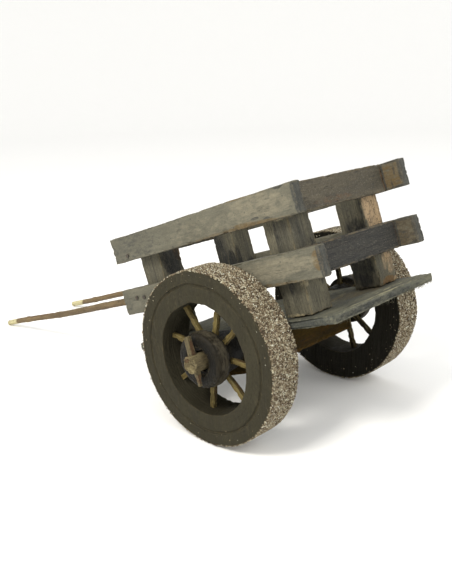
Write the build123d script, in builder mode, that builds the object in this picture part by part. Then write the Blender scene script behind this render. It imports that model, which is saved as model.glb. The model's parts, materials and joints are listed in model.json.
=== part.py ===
from build123d import *
import os
from math import asin, atan2, cos, degrees, hypot, radians, sin

# Miniature two-wheeled wooden handcart, in millimetres, +Z up, standing on
# its wheels and on the tips of its two shafts.  The ground is Z = 0, +X points
# to the open tail, the shafts lie towards -X, and +Y is the left side.
# Sizes along the bed are measured in the cart's own frame: from the axle's
# centre, X along the floor, Z square to it.  The shafts are shorter than the
# wheels are high, so the cart's frame leans by a pitch that is worked out here.

os.makedirs("parts", exist_ok=True)

# Wheels
wheel_radius = 55.8
wheel_width = 24.0
tread_thickness = 2.0
tread_edge_inset = 0.4
tread_edge_round = 0.5
glue_line = 0.1
rim_hole_radius = 35.5
rim_edge_round = 0.9
rim_groove_radius = 46.8
rim_groove_depth = 1.1
rim_groove_width = 1.8
spoke_count = 8
spoke_section = 3.6
spoke_edge = 0.4
spoke_socket_depth = 3.0
# Where each wheel's first spoke stands, in degrees
spoke_first_angle = {"left": 32.0, "right": 41.0}
# How far each handmade spoke leans from even spacing, in degrees
spoke_leans = [7, -4, -1, -5, -3, 1, 7, 5]
spoke_middle = 13.6

# Hubs, from the back face (towards the bed) to the front
hub_back_radius = 12.5
hub_waist_radius = 14.0
hub_shoulder_radius = 17.8
hub_face_radius = 15.2
hub_shoulder_start = 17.0
hub_shoulder_round = 3.0
hub_proud = 4.0
hub_recess_radius = 8.6
hub_recess_depth = 2.5
hub_running_clearance = 0.3

# Axle, the beam that carries it, and the pins that keep the wheels on
axle_radius = 5.8
axle_end_proud = 7.0
axle_end_round = 0.8
axle_seat_clearance = 0.05
beam_width = 28.0
beam_depth = 24.0
beam_round = 2.5
hub_end_play = 0.6
linchpin_radius = 1.6
linchpin_head_radius = 2.1
linchpin_point_radius = 1.0
linchpin_above = 17.0
linchpin_below = 14.5
linchpin_gap = 0.5

# Bed: floor, posts and rails
bed_width = 109.0
wheel_gap = 1.2
floor_thickness = 5.6
floor_clearance = 0.2
floor_front = 89.7
floor_tail = 86.0
floor_edge = 0.5
posts_front = 73.4
posts_tail = 65.4
post_section = 20.6
post_top_drop = 1.5
post_edge = 0.8
side_rail_thickness = 7.5
cross_rail_thickness = 7.7
rail_height = 18.4
lower_rail_bottom = 32.4
upper_rail_bottom = 69.5
rail_front_overhang = 10.9
lower_rail_extra = 2.5
rail_tail_overhang = 13.9
# The upper right rail was sawn shorter at the tail than the other three
short_rail_loss = 6.0
rail_edge = 0.7

# Shafts
shaft_reach = 302.0
shaft_tip_height = 45.6
shaft_tip_radius = 2.4
shaft_tip_round = 1.8
shaft_tip_spread = 36.0
shaft_root_radius = 2.8
shaft_root_height = 40.0
shaft_root_inset = 6.0
shaft_socket_depth = 11.0
shaft_clearance = 0.03

# Pegs and nails
peg_radius = 1.5
peg_grip = 4.0
peg_offset = 3.5
peg_edge_distance = 5.0
nail_radius = 0.7
nail_head_radius = 1.4
nail_head_height = 0.5
side_nail_length = 11.0
floor_nail_grip = 10.0
beam_nail_grip = 14.0
beam_nail_across = 10.0
beam_nail_along = 35.0
fastener_clearance = 0.02

# Worked-out places in the cart's frame
floor_bottom = axle_radius + floor_clearance
floor_top = floor_bottom + floor_thickness
rail_outer = bed_width / 2
rail_inner = rail_outer - side_rail_thickness
post_inner = rail_inner - post_section
upper_rail_top = upper_rail_bottom + rail_height
rail_front = posts_front + cross_rail_thickness + rail_front_overhang
rail_tail = posts_tail + cross_rail_thickness + rail_tail_overhang
wheel_inner = rail_outer + wheel_gap
wheel_outer = wheel_inner + wheel_width
hub_back = rail_outer + hub_end_play
hub_front = wheel_outer + hub_proud
hub_length = hub_front - hub_back
hub_bore_radius = axle_radius + hub_running_clearance
axle_end = hub_front + axle_end_proud
linchpin_place = hub_front + linchpin_gap + linchpin_head_radius
rim_radius = wheel_radius - tread_thickness
shaft_root_spread = rail_inner - shaft_root_inset

# The cart leans until the rounded shaft tips touch the ground
tip_corner = shaft_tip_radius - shaft_tip_round
contact_reach = shaft_reach - shaft_tip_round
contact_height = shaft_tip_height - tip_corner
pitch = atan2(contact_height, contact_reach)
pitch += asin((wheel_radius - shaft_tip_round) / hypot(contact_reach, contact_height))

# The origin lies under the middle of the whole length
tail_end = floor_tail * cos(pitch) - (floor_bottom + floor_edge) * sin(pitch)
tip_end = -contact_reach * cos(pitch) - (shaft_tip_height + tip_corner) * sin(pitch) - shaft_tip_round
axle_x = -(tail_end + tip_end) / 2

cart = Plane(
    origin=(axle_x, 0, wheel_radius),
    x_dir=(cos(pitch), 0, sin(pitch)),
    z_dir=(-sin(pitch), 0, cos(pitch)),
)


def cart_point(x, y, z):
    """The ground-frame point of a point given in the cart's frame."""
    return cart.from_local_coords(Vector(x, y, z))


def cart_plane(x, y, z, normal, x_dir=(0, 1, 0)):
    """A plane whose origin, normal and X direction are given in the cart's frame."""
    start = cart_point(0, 0, 0)
    return Plane(
        origin=cart_point(x, y, z),
        x_dir=cart_point(*x_dir) - start,
        z_dir=cart_point(*normal) - start,
    )


def finish(piece, label):
    """Label a finished piece and write its file."""
    piece.part.label = label
    export_step(piece.part, f"parts/{label}.step")
    print(f"{label}: {piece.part.volume:.1f} mm3")


def drill(place, radius, depth):
    """Take a round hole out of the piece being built, along a plane's normal."""
    with BuildSketch(place) as outline:
        Circle(radius)
    extrude(outline.sketch, amount=depth, mode=Mode.SUBTRACT)


def middle(low, high):
    return (low + high) / 2


# ---------------------------------------------------------------- fastenings
# Every fastening is a plane to drill along, a radius and a length, so that the
# pieces it passes through are drilled from the same place as it is made.

post_middle_y = middle(post_inner, rail_inner)
post_xs = {
    "front": middle(-posts_front, -posts_front + post_section),
    "tail": middle(posts_tail - post_section, posts_tail),
}
post_inner_xs = {"front": -posts_front + post_section, "tail": posts_tail - post_section}
outward = {"front": -1, "tail": 1}
sides = {"left": 1, "right": -1}
levels = {"lower": lower_rail_bottom, "upper": upper_rail_bottom}
peg_length = post_section + peg_grip


def side_peg(end, side, level):
    """A peg from a post's inner face out into the side rail."""
    height = levels[level] + rail_height / 2 + peg_offset
    return cart_plane(post_xs[end], sides[side] * post_inner, height, (0, sides[side], 0), (1, 0, 0))


def cross_peg(end, side, level):
    """A peg from a post's inner face out into the cross rail."""
    height = levels[level] + rail_height / 2 - peg_offset
    across = sides[side] * (post_inner + peg_edge_distance)
    return cart_plane(post_inner_xs[end], across, height, (outward[end], 0, 0))


# Nails through the side rails' front ends: distance along the cart from the
# front of the posts, height above the rail's lower edge, and the rail's level
cross_nails = [(2.6, 4.0, "upper"), (5.1, 11.3, "lower")]
post_nails = [(-2.9, 10.8, "lower")]


def front_nail(nail, side):
    """A nail driven in from the outer face of a side rail."""
    ahead, up, level = nail
    place = (-posts_front - ahead, sides[side] * rail_outer, levels[level] + up)
    return cart_plane(*place, (0, -sides[side], 0), (1, 0, 0))


def floor_nail(end, side):
    """A nail driven up through the floor into a post."""
    return cart_plane(post_xs[end], sides[side] * post_middle_y, floor_bottom, (0, 0, 1))


def beam_nail(ahead, side):
    """A nail driven down through the floor into the axle beam."""
    return cart_plane(ahead * beam_nail_across, side * beam_nail_along, floor_top, (0, 0, -1))


def pegs_at(end, side):
    """The four pegs of one post."""
    return [peg(end, side, level) for level in levels for peg in (side_peg, cross_peg)]


def shaft_socket(side):
    """The plane a shaft enters by, on the front face of the lower cross rail."""
    place = (-posts_front - cross_rail_thickness, sides[side] * shaft_root_spread, shaft_root_height)
    return cart_plane(*place, (1, 0, 0))


# ------------------------------------------------------------------ the floor
with BuildPart() as floor_board:
    with BuildSketch(cart.offset(floor_bottom)):
        with Locations((middle(-floor_front, floor_tail), 0)):
            Rectangle(floor_front + floor_tail, bed_width)
    extrude(amount=floor_thickness)
    chamfer(floor_board.edges(), floor_edge)
    for end in post_xs:
        for side in sides:
            drill(floor_nail(end, side), nail_radius + fastener_clearance, floor_thickness)
    for ahead in (-1, 1):
        for side in (-1, 1):
            drill(beam_nail(ahead, side), nail_radius + fastener_clearance, floor_thickness)
finish(floor_board, "floor_board")


# ------------------------------------------------------- corner posts and rails
def corner_post(end, side):
    """A square post that stands on the floor inside the rails."""
    low_x = min(post_inner_xs[end], outward[end] * (posts_tail if end == "tail" else posts_front))
    top = upper_rail_top - post_top_drop
    with BuildPart() as post:
        with BuildSketch(cart.offset(floor_top)):
            with Locations((low_x + post_section / 2, sides[side] * post_middle_y)):
                Rectangle(post_section, post_section)
        extrude(amount=top - floor_top)
        upright = cart_plane(0, 0, 0, (0, 0, 1)).z_dir
        chamfer(post.edges().filter_by(Axis((0, 0, 0), tuple(upright))), post_edge)
        for peg in pegs_at(end, side):
            drill(peg, peg_radius + fastener_clearance, post_section)
        drill(floor_nail(end, side), nail_radius + fastener_clearance, floor_thickness + floor_nail_grip)
        if end == "front":
            socket = cross_rail_thickness + shaft_socket_depth
            drill(shaft_socket(side), shaft_root_radius + shaft_clearance, socket)
            for nail in post_nails:
                drill(front_nail(nail, side), nail_radius + fastener_clearance, side_nail_length)
    finish(post, f"post_{end}_{side}")


def side_rail(level, side):
    """A board nailed and pegged along the outside of two posts."""
    extra = lower_rail_extra if level == "lower" else 0
    start = -rail_front - extra
    loss = short_rail_loss if (level, side) == ("upper", "right") else 0
    stop = rail_tail - loss
    with BuildPart() as rail:
        with BuildSketch(cart.offset(levels[level])):
            with Locations((middle(start, stop), sides[side] * middle(rail_inner, rail_outer))):
                Rectangle(stop - start, side_rail_thickness)
        extrude(amount=rail_height)
        chamfer(rail.edges(), rail_edge)
        for end in post_xs:
            drill(side_peg(end, side, level), peg_radius + fastener_clearance, peg_length)
        for nail in cross_nails + post_nails:
            if nail[2] == level:
                drill(front_nail(nail, side), nail_radius + fastener_clearance, side_nail_length)
    finish(rail, f"{level}_rail_{side}")


def cross_rail(level, end):
    """A board across the ends of the posts, between the side rails."""
    face = outward[end] * (posts_tail if end == "tail" else posts_front)
    with BuildPart() as rail:
        with BuildSketch(cart.offset(levels[level])):
            with Locations((face + outward[end] * cross_rail_thickness / 2, 0)):
                Rectangle(cross_rail_thickness, 2 * rail_inner)
        extrude(amount=rail_height)
        chamfer(rail.edges(), rail_edge)
        for side in sides:
            drill(cross_peg(end, side, level), peg_radius + fastener_clearance, peg_length)
            if end == "front":
                for nail in cross_nails:
                    if nail[2] == level:
                        place = front_nail(nail, side)
                        drill(place, nail_radius + fastener_clearance, side_nail_length)
                if level == "lower":
                    hole = shaft_root_radius + shaft_clearance
                    drill(shaft_socket(side), hole, cross_rail_thickness)
    finish(rail, f"{level}_rail_{end}")


for side in sides:
    for end in post_xs:
        corner_post(end, side)
    for level in levels:
        side_rail(level, side)
for end in post_xs:
    for level in levels:
        cross_rail(level, end)


# ------------------------------------------------------------------ the shafts
# Stations along each natural stick, from root to tip: share of the free
# length, height above the straight line from root to tip, and radius.
shaft_stations = {
    "right": [(0.18, -0.3, 2.9), (0.42, -0.5, 2.8), (0.64, 0.1, 2.65), (0.84, 0.3, 2.5)],
    "left": [(0.18, 0.6, 2.8), (0.42, 1.5, 2.9), (0.64, 2.3, 2.7), (0.84, 1.9, 2.55)],
}


def shaft(side):
    """A tapering stick that passes through the cross rail into the post."""
    root = (-posts_front - cross_rail_thickness, shaft_root_spread, shaft_root_height)
    tip = (-shaft_reach, shaft_tip_spread, shaft_tip_height)
    stations = [(0.0, 0.0, shaft_root_radius), *shaft_stations[side], (1.0, 0.0, shaft_tip_radius)]
    with BuildPart() as stick:
        for share, rise, radius in stations:
            x, y, z = (a + (b - a) * share for a, b in zip(root, tip))
            with BuildSketch(cart_plane(x, sides[side] * y, z + rise, (-1, 0, 0))):
                Circle(radius)
        loft()
        with BuildSketch(shaft_socket(side)):
            Circle(shaft_root_radius)
        extrude(amount=cross_rail_thickness + shaft_socket_depth)
        fillet(stick.edges().sort_by(Axis.X)[0], shaft_tip_round)
    finish(stick, f"shaft_{side}")


for side in sides:
    shaft(side)


# -------------------------------------------------------- axle, beam, linchpins
# A round axle lies in a groove along the top of a beam under the floor.
with BuildPart() as axle_beam:
    with BuildSketch(cart.offset(floor_bottom - beam_depth)):
        Rectangle(beam_width, bed_width)
    extrude(amount=beam_depth)
    lengthwise = axle_beam.edges().filter_by(Axis.Y)
    fillet(lengthwise.sort_by(Axis(cart.origin, tuple(cart.z_dir)))[:2], beam_round)
    with BuildSketch(cart_plane(0, -rail_outer, 0, (0, 1, 0), (1, 0, 0))):
        Circle(axle_radius + axle_seat_clearance)
        with Locations((0, -floor_bottom)):
            Rectangle(2 * (axle_radius + axle_seat_clearance), 2 * floor_bottom)
    extrude(amount=bed_width, mode=Mode.SUBTRACT)
    for ahead in (-1, 1):
        for side in (-1, 1):
            grip = floor_thickness + beam_nail_grip
            drill(beam_nail(ahead, side), nail_radius + fastener_clearance, grip)
finish(axle_beam, "axle_beam")

linchpin_run = linchpin_above + linchpin_below
with BuildPart() as axle:
    with BuildSketch(cart_plane(0, -axle_end, 0, (0, 1, 0), (1, 0, 0))):
        Circle(axle_radius)
    extrude(amount=2 * axle_end)
    chamfer(axle.edges(), axle_end_round)
    for side in (-1, 1):
        place = cart_plane(0, side * linchpin_place, -linchpin_below, (0, 0, 1))
        drill(place, linchpin_radius + fastener_clearance, linchpin_run)
finish(axle, "axle")


def linchpin(side):
    """A whittled peg through the axle, thick at its head and pointed below."""
    grip = axle_radius + linchpin_gap
    with BuildPart() as pin:
        with BuildSketch(cart_plane(0, sides[side] * linchpin_place, 0, (0, -1, 0), (1, 0, 0))):
            with BuildLine():
                Polyline(
                    (0, -linchpin_below),
                    (linchpin_point_radius, -linchpin_below),
                    (linchpin_radius, -grip),
                    (linchpin_radius, grip),
                    (linchpin_head_radius, grip + linchpin_head_radius),
                    (linchpin_head_radius, linchpin_above - linchpin_point_radius),
                    (linchpin_point_radius, linchpin_above),
                    (0, linchpin_above),
                    close=True,
                )
            make_face()
        upright = Axis(cart_point(0, sides[side] * linchpin_place, 0), cart.z_dir)
        revolve(axis=upright)
    finish(pin, f"linchpin_{side}")


for side in sides:
    linchpin(side)


# ------------------------------------------------------------------ the wheels
# A wheel's own plane lies on its back face, with its normal pointing outboard.
def wheel_plane(side, back):
    return Plane(origin=(axle_x, sides[side] * back, wheel_radius), x_dir=(1, 0, 0), z_dir=(0, sides[side], 0))


def turned_plane(wheel):
    """The plane of a turned piece's profile: radius along X, length along Y."""
    return Plane(origin=wheel.origin, x_dir=wheel.x_dir, z_dir=-wheel.y_dir)


def spoke_planes(side, wheel, radius, height):
    """A plane across each spoke at the given radius, facing outwards."""
    planes = []
    for number in range(spoke_count):
        lean = spoke_leans[number % len(spoke_leans)]
        angle = radians(spoke_first_angle[side] + number * 360 / spoke_count + lean)
        radial = wheel.x_dir * cos(angle) + wheel.y_dir * sin(angle)
        place = wheel.origin + radial * radius + wheel.z_dir * height
        planes.append(Plane(origin=place, x_dir=wheel.z_dir, z_dir=radial))
    return planes


spoke_inner = hub_waist_radius - spoke_socket_depth
spoke_outer = rim_hole_radius + spoke_socket_depth
spoke_length = spoke_outer - spoke_inner
socket_section = spoke_section + 2 * fastener_clearance


def wheel_rim(side):
    """A turned ring with a groove round its outer face and sockets for the spokes."""
    wheel = wheel_plane(side, wheel_inner)
    with BuildPart() as rim:
        with BuildSketch(turned_plane(wheel)):
            with Locations((middle(rim_hole_radius, rim_radius), wheel_width / 2)):
                Rectangle(rim_radius - rim_hole_radius, wheel_width)
        revolve(axis=Axis(wheel.origin, wheel.z_dir))
        fillet(rim.edges().filter_by(GeomType.CIRCLE), rim_edge_round)
        with BuildSketch(turned_plane(wheel)):
            with BuildLine():
                Polyline(
                    (rim_groove_radius - rim_groove_width / 2, wheel_width),
                    (rim_groove_radius, wheel_width - rim_groove_depth),
                    (rim_groove_radius + rim_groove_width / 2, wheel_width),
                    close=True,
                )
            make_face()
        revolve(axis=Axis(wheel.origin, wheel.z_dir), mode=Mode.SUBTRACT)
        with BuildSketch(*spoke_planes(side, wheel, spoke_inner, spoke_middle)):
            Rectangle(socket_section, socket_section)
        extrude(amount=spoke_length, mode=Mode.SUBTRACT)
    finish(rim, f"wheel_rim_{side}")


def tread(side):
    """A thin layer of coarse sand glued round the rim."""
    wheel = wheel_plane(side, wheel_inner + tread_edge_inset)
    width = wheel_width - 2 * tread_edge_inset
    inside = rim_radius + glue_line
    with BuildPart() as layer:
        with BuildSketch(turned_plane(wheel)):
            with Locations((middle(inside, wheel_radius), width / 2)):
                Rectangle(wheel_radius - inside, width)
        revolve(axis=Axis(wheel.origin, wheel.z_dir))
        fillet(layer.edges().filter_by(GeomType.CIRCLE).sort_by(SortBy.RADIUS)[-2:], tread_edge_round)
    finish(layer, f"tread_{side}")


def hub(side):
    """A turned nave with a heavy rounded collar in front and sockets for the spokes."""
    wheel = wheel_plane(side, hub_back)
    collar_start = hub_shoulder_start
    collar_end = hub_length - hub_shoulder_round
    with BuildPart() as nave:
        with BuildSketch(turned_plane(wheel)):
            with BuildLine():
                Line((hub_bore_radius, 0), (hub_back_radius, 0))
                Line((hub_back_radius, 0), (hub_waist_radius, spoke_section / 2))
                Line((hub_waist_radius, spoke_section / 2), (hub_waist_radius, collar_start))
                Line((hub_waist_radius, collar_start), (hub_shoulder_radius, collar_start + hub_shoulder_round))
                Line((hub_shoulder_radius, collar_start + hub_shoulder_round), (hub_shoulder_radius, collar_end))
                Spline(
                    (hub_shoulder_radius, collar_end),
                    (hub_face_radius, hub_length),
                    tangents=[(0, 1), (-1, 0)],
                )
                Line((hub_face_radius, hub_length), (hub_recess_radius, hub_length))
                Line((hub_recess_radius, hub_length), (hub_recess_radius, hub_length - hub_recess_depth))
                Line(
                    (hub_recess_radius, hub_length - hub_recess_depth),
                    (hub_bore_radius, hub_length - hub_recess_depth),
                )
                Line((hub_bore_radius, hub_length - hub_recess_depth), (hub_bore_radius, 0))
            make_face()
        revolve(axis=Axis(wheel.origin, wheel.z_dir))
        height = spoke_middle + wheel_inner - hub_back
        with BuildSketch(*spoke_planes(side, wheel, spoke_inner, height)):
            Rectangle(socket_section, socket_section)
        extrude(amount=spoke_length, mode=Mode.SUBTRACT)
    finish(nave, f"hub_{side}")


def spokes(side):
    """The split-stick spokes, each in its sockets in hub and rim."""
    wheel = wheel_plane(side, wheel_inner)
    for number, place in enumerate(spoke_planes(side, wheel, spoke_inner, spoke_middle), start=1):
        with BuildPart() as spoke:
            with BuildSketch(place):
                Rectangle(spoke_section, spoke_section)
            extrude(amount=spoke_length)
            chamfer(spoke.edges(), spoke_edge)
        finish(spoke, f"spoke_{side}_{number}")


for side in sides:
    wheel_rim(side)
    tread(side)
    hub(side)
    spokes(side)


# ------------------------------------------------------------ pegs and nails
with BuildPart() as rail_pegs:
    for end in post_xs:
        for side in sides:
            for place in pegs_at(end, side):
                with BuildSketch(place):
                    Circle(peg_radius)
                extrude(amount=peg_length)
finish(rail_pegs, "rail_pegs")


def nails(places, grip, label):
    """Round nails with flat heads, each driven along its plane's normal."""
    with BuildPart() as group:
        for place in places:
            with BuildSketch(place.offset(-nail_head_height)):
                Circle(nail_head_radius)
            extrude(amount=nail_head_height)
            with BuildSketch(place):
                Circle(nail_radius)
            extrude(amount=grip)
    finish(group, label)


nails(
    [front_nail(nail, side) for side in sides for nail in cross_nails + post_nails],
    side_nail_length,
    "front_nails",
)
nails(
    [floor_nail(end, side) for end in post_xs for side in sides],
    floor_thickness + floor_nail_grip,
    "floor_nails",
)
nails(
    [beam_nail(ahead, side) for ahead in (-1, 1) for side in (-1, 1)],
    floor_thickness + beam_nail_grip,
    "beam_nails",
)

print(f"pitch {degrees(pitch):.3f} degrees, axle at X {axle_x:.3f}")
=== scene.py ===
"""Looks of a miniature two-wheeled wooden handcart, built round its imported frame."""

import json
import logging
import math
from dataclasses import dataclass, replace
from enum import Enum
from typing import Any, Callable, ClassVar, Sequence

import bpy
import numpy as np
from mathutils import Matrix

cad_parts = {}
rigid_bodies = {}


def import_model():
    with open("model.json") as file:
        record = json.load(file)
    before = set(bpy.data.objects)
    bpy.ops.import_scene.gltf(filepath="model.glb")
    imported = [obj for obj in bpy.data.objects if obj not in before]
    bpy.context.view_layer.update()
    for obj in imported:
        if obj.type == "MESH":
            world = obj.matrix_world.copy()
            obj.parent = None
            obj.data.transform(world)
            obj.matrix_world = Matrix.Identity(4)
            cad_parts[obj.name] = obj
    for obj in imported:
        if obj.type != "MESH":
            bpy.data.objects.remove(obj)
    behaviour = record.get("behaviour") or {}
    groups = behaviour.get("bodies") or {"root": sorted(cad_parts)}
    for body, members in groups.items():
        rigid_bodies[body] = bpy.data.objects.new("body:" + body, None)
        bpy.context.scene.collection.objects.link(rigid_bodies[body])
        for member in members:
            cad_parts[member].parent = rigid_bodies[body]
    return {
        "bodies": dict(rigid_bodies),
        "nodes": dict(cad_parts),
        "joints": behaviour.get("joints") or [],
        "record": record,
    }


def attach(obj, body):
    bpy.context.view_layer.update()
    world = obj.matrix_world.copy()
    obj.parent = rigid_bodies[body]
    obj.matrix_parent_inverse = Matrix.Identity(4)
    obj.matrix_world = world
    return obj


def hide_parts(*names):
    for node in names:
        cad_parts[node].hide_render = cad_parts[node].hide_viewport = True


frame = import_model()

LOG = logging.getLogger("handcart")
MM = 0.001
FULL_TURN = 2.0 * math.pi
CART_BODY = "cart"

ARC_STEPS = 5  # points on each rounded edge
EDGE_FADE = 1.6 * MM  # how far wear spreads from a long edge
END_FADE = 2.0 * MM  # how far wear spreads along a piece from its ends
END_EDGE = 0.75  # share of the flat end where wear begins
INNERMOST = 0.08  # size of the smallest ring on a flat end

Colour = tuple[float, float, float]


# ---------------------------------------------------------------- numbers


def smooth_step(value: np.ndarray, low: float, high: float) -> np.ndarray:
    """Ease from 0 at low to 1 at high: 3 t squared minus 2 t cubed.

    Args:
        value: Any array of numbers.
        low: Where the rise starts.
        high: Where the rise ends.

    Returns:
        The eased values, the same shape as value.
    """
    t = np.clip((value - low) / (high - low), 0.0, 1.0)
    return t * t * (3.0 - 2.0 * t)


def paint(red: int, green: int, blue: int) -> Colour:
    """Turn a display colour of 0 to 255 into the linear colour a shader wants.

    Args:
        red: Red as shown.
        green: Green as shown.
        blue: Blue as shown.

    Returns:
        The three linear values.
    """
    shown = np.array((red, green, blue), float) / 255.0
    linear = np.where(shown <= 0.04045, shown / 12.92, ((shown + 0.055) / 1.055) ** 2.4)
    return (float(linear[0]), float(linear[1]), float(linear[2]))


class Ripple:
    """Smooth seeded noise: a sum of sine waves with random directions and starts."""

    def __init__(self, seed: int, wavelengths: Sequence[float],
                 waves: int = 16) -> None:
        """Draw the waves.

        Args:
            seed: Which set of waves.
            wavelengths: Usual wavelength along each of three directions, in metres.
            waves: How many sine waves are added.
        """
        draw = np.random.default_rng(seed)
        self.turns = (draw.normal(0.0, 1.0, (waves, 3)) * FULL_TURN
                      / np.array(wavelengths))
        self.starts = draw.uniform(0.0, FULL_TURN, waves)
        self.share = 1.0 / math.sqrt(2.0 * waves)

    def __call__(self, points: np.ndarray) -> np.ndarray:
        """Noise at each point, from 0 to 1 and mostly near a half.

        Args:
            points: An array whose last axis holds three coordinates.

        Returns:
            One value for each point.
        """
        phase = points @ self.turns.T + self.starts
        return np.clip(0.5 + np.sin(phase).sum(axis=-1) * self.share, 0.0, 1.0)


# ----------------------------------------------------------------- frames


class Grain(Enum):
    """Which way the fibres of a straight piece run in the cart's own frame."""

    ALONG_BED = (0, 1, 2)
    ACROSS_BED = (1, 0, 2)
    UPRIGHT = (2, 0, 1)


class Side(Enum):
    """Left or right of the cart, with the sign of its Y."""

    LEFT = 1
    RIGHT = -1

    @property
    def word(self) -> str:
        """The side as it stands in node names."""
        return self.name.lower()


@dataclass(frozen=True)
class Lay:
    """A straight piece's own frame: three unit rows, an origin, and its box in them."""

    axes: np.ndarray
    origin: np.ndarray
    low: np.ndarray
    high: np.ndarray

    @property
    def half(self) -> np.ndarray:
        """Half the size in each direction."""
        return (self.high - self.low) / 2.0

    @property
    def middle(self) -> np.ndarray:
        """The box's centre in its own axes."""
        return (self.high + self.low) / 2.0

    def world(self, points: np.ndarray) -> np.ndarray:
        """Points measured from the piece's centre, as places in the row frame."""
        return self.origin + (points + self.middle) @ self.axes


@dataclass(frozen=True)
class CartFrame:
    """The leaning frame of the cart: its origin is the middle of the axle."""

    axle: np.ndarray
    up: np.ndarray

    @classmethod
    def from_record(cls, loaded: dict[str, Any]) -> "CartFrame":
        """Read the axle from a wheel's joint and the lean from a rail's mount.


        Returns:
            The cart's frame.
        """
        axle = np.array(loaded["joints"][0]["pos_m"], float)
        axle[1] = 0.0
        up = np.array(loaded["record"]["mounts"][0]["axis"], float)
        return cls(axle, up / np.linalg.norm(up))

    @property
    def rows(self) -> np.ndarray:
        """Unit rows: along the bed to the tail, to the left, and up from the floor."""
        return np.array(
            [[self.up[2], 0.0, -self.up[0]], [0.0, 1.0, 0.0], list(self.up)]
        )

    def lay(self, node: str, grain: Grain) -> Lay:
        """Measure a CAD node in the cart's frame, with its grain first.

        Args:
            node: The node's name.
            grain: Which way its fibres run.

        Returns:
            The piece's own frame and box.
        """
        return measured(node, self.rows[list(grain.value)], self.axle)


def corners_of(node: str) -> np.ndarray:
    """Every vertex of a CAD node, as an array of three columns, in metres."""
    mesh = frame["nodes"][node].data
    places = np.zeros(len(mesh.vertices) * 3, np.float32)
    mesh.vertices.foreach_get("co", places)
    return places.reshape(-1, 3).astype(float)


def measured(node: str, axes: np.ndarray, origin: np.ndarray) -> Lay:
    """The box of a CAD node in any turned frame.

    Args:
        node: The node's name.
        axes: Three unit rows.
        origin: The frame's origin in the row frame.

    Returns:
        The frame with the node's lowest and highest values in it.
    """
    local = (corners_of(node) - origin) @ axes.T
    return Lay(axes, origin, local.min(axis=0), local.max(axis=0))


# ------------------------------------------------------------------ meshes


def make_mesh(name: str, points: np.ndarray, loops: np.ndarray, sizes: np.ndarray,
              marks: dict[str, np.ndarray], smooth: bool) -> bpy.types.Object:
    """Put arrays of vertices and faces into a new object at the origin.

    Args:
        name: The piece's name.
        points: Vertices, three columns.
        loops: Vertex numbers of all faces in a row.
        sizes: How many corners each face has.
        marks: Named point attributes, of one or three columns.
        smooth: Whether faces are shaded smooth.

    Returns:
        The linked object.
    """
    mesh = bpy.data.meshes.new(name)
    mesh.vertices.add(len(points))
    mesh.vertices.foreach_set("co", points.astype(np.float32).ravel())
    mesh.loops.add(len(loops))
    mesh.loops.foreach_set("vertex_index", loops.astype(np.int32))
    mesh.polygons.add(len(sizes))
    starts = np.concatenate(([0], np.cumsum(sizes)[:-1]))
    mesh.polygons.foreach_set("loop_start", starts.astype(np.int32))
    mesh.polygons.foreach_set("use_smooth", np.full(len(sizes), smooth))
    mesh.update(calc_edges=True)
    mesh.validate()
    for key, values in marks.items():
        wide = values.ndim == 2
        made = mesh.attributes.new(key, "FLOAT_VECTOR" if wide else "FLOAT", "POINT")
        made.data.foreach_set("vector" if wide else "value",
                              values.astype(np.float32).ravel())
    piece = bpy.data.objects.new(name, mesh)
    bpy.context.scene.collection.objects.link(piece)
    return piece


def skin(name: str, points: np.ndarray, marks: dict[str, np.ndarray],
         ring: bool = False) -> bpy.types.Object:
    """Close a grid of points into a solid skin whose faces look outwards.

    Each row joins the next with four-cornered faces, and wraps round on itself.
    The first and last rows close on a pole, or on each other when ring is set.
    The sum of each face's corner triple product gives the signed volume, and a
    negative one turns every face over.

    Args:
        name: The piece's name.
        points: The grid: rows, places around, and three coordinates.
        marks: Named attributes on the same grid.
        ring: Whether the last row joins the first.

    Returns:
        The linked object.
    """
    rows, around = points.shape[:2]
    numbers = np.arange(rows * around).reshape(rows, around)
    below = numbers if ring else numbers[:-1]
    above = np.roll(numbers, -1, axis=0) if ring else numbers[1:]
    quads = np.stack((below, np.roll(below, -1, axis=1),
                      np.roll(above, -1, axis=1), above), axis=-1).reshape(-1, 4)
    flat = points.reshape(-1, 3)
    flat_marks = {k: v.reshape(rows * around, *v.shape[2:]) for k, v in marks.items()}
    triples = np.zeros((0, 3), int)
    if not ring:
        poles = np.stack((points[0].mean(axis=0), points[-1].mean(axis=0)))
        flat = np.concatenate((flat, poles))
        first = np.full(around, rows * around)
        triples = np.concatenate((
            np.stack((first, np.roll(numbers[0], -1), numbers[0]), axis=-1),
            np.stack((first + 1, numbers[-1], np.roll(numbers[-1], -1)), axis=-1)))
        flat_marks = {
            k: np.concatenate((flat_marks[k], np.stack((v[0].mean(axis=0),
                                                        v[-1].mean(axis=0)))))
            for k, v in marks.items()}
    near = flat - flat.mean(axis=0)
    a, b, c, d = (near[quads[:, i]] for i in range(4))
    volume = (np.cross(a, b) * c).sum() + (np.cross(a, c) * d).sum()
    if volume < 0.0:
        quads, triples = quads[:, ::-1], triples[:, ::-1]
    loops = np.concatenate((quads.ravel(), triples.ravel()))
    sizes = np.concatenate((np.full(len(quads), 4), np.full(len(triples), 3)))
    return make_mesh(name, flat, loops, sizes, flat_marks, smooth=True)


def settle(piece: bpy.types.Object, body: str, slot: str,
           finish: bpy.types.Material, *nodes: str) -> bpy.types.Object:
    """Dress a piece, hang it on its body and report it.

    Args:
        piece: The finished object.
        body: The body it moves with.
        slot: The record's material slot; not used.
        finish: Its material.
        nodes: CAD nodes it stands for.

    Returns:
        The same piece.
    """
    piece.data.materials.append(finish)
    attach(piece, body)
    if nodes:
        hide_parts(*nodes)
    faces = len(piece.data.loops) - 2 * len(piece.data.polygons)
    LOG.info("%s: %d triangles on %s", piece.name, faces, body)
    return piece


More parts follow.
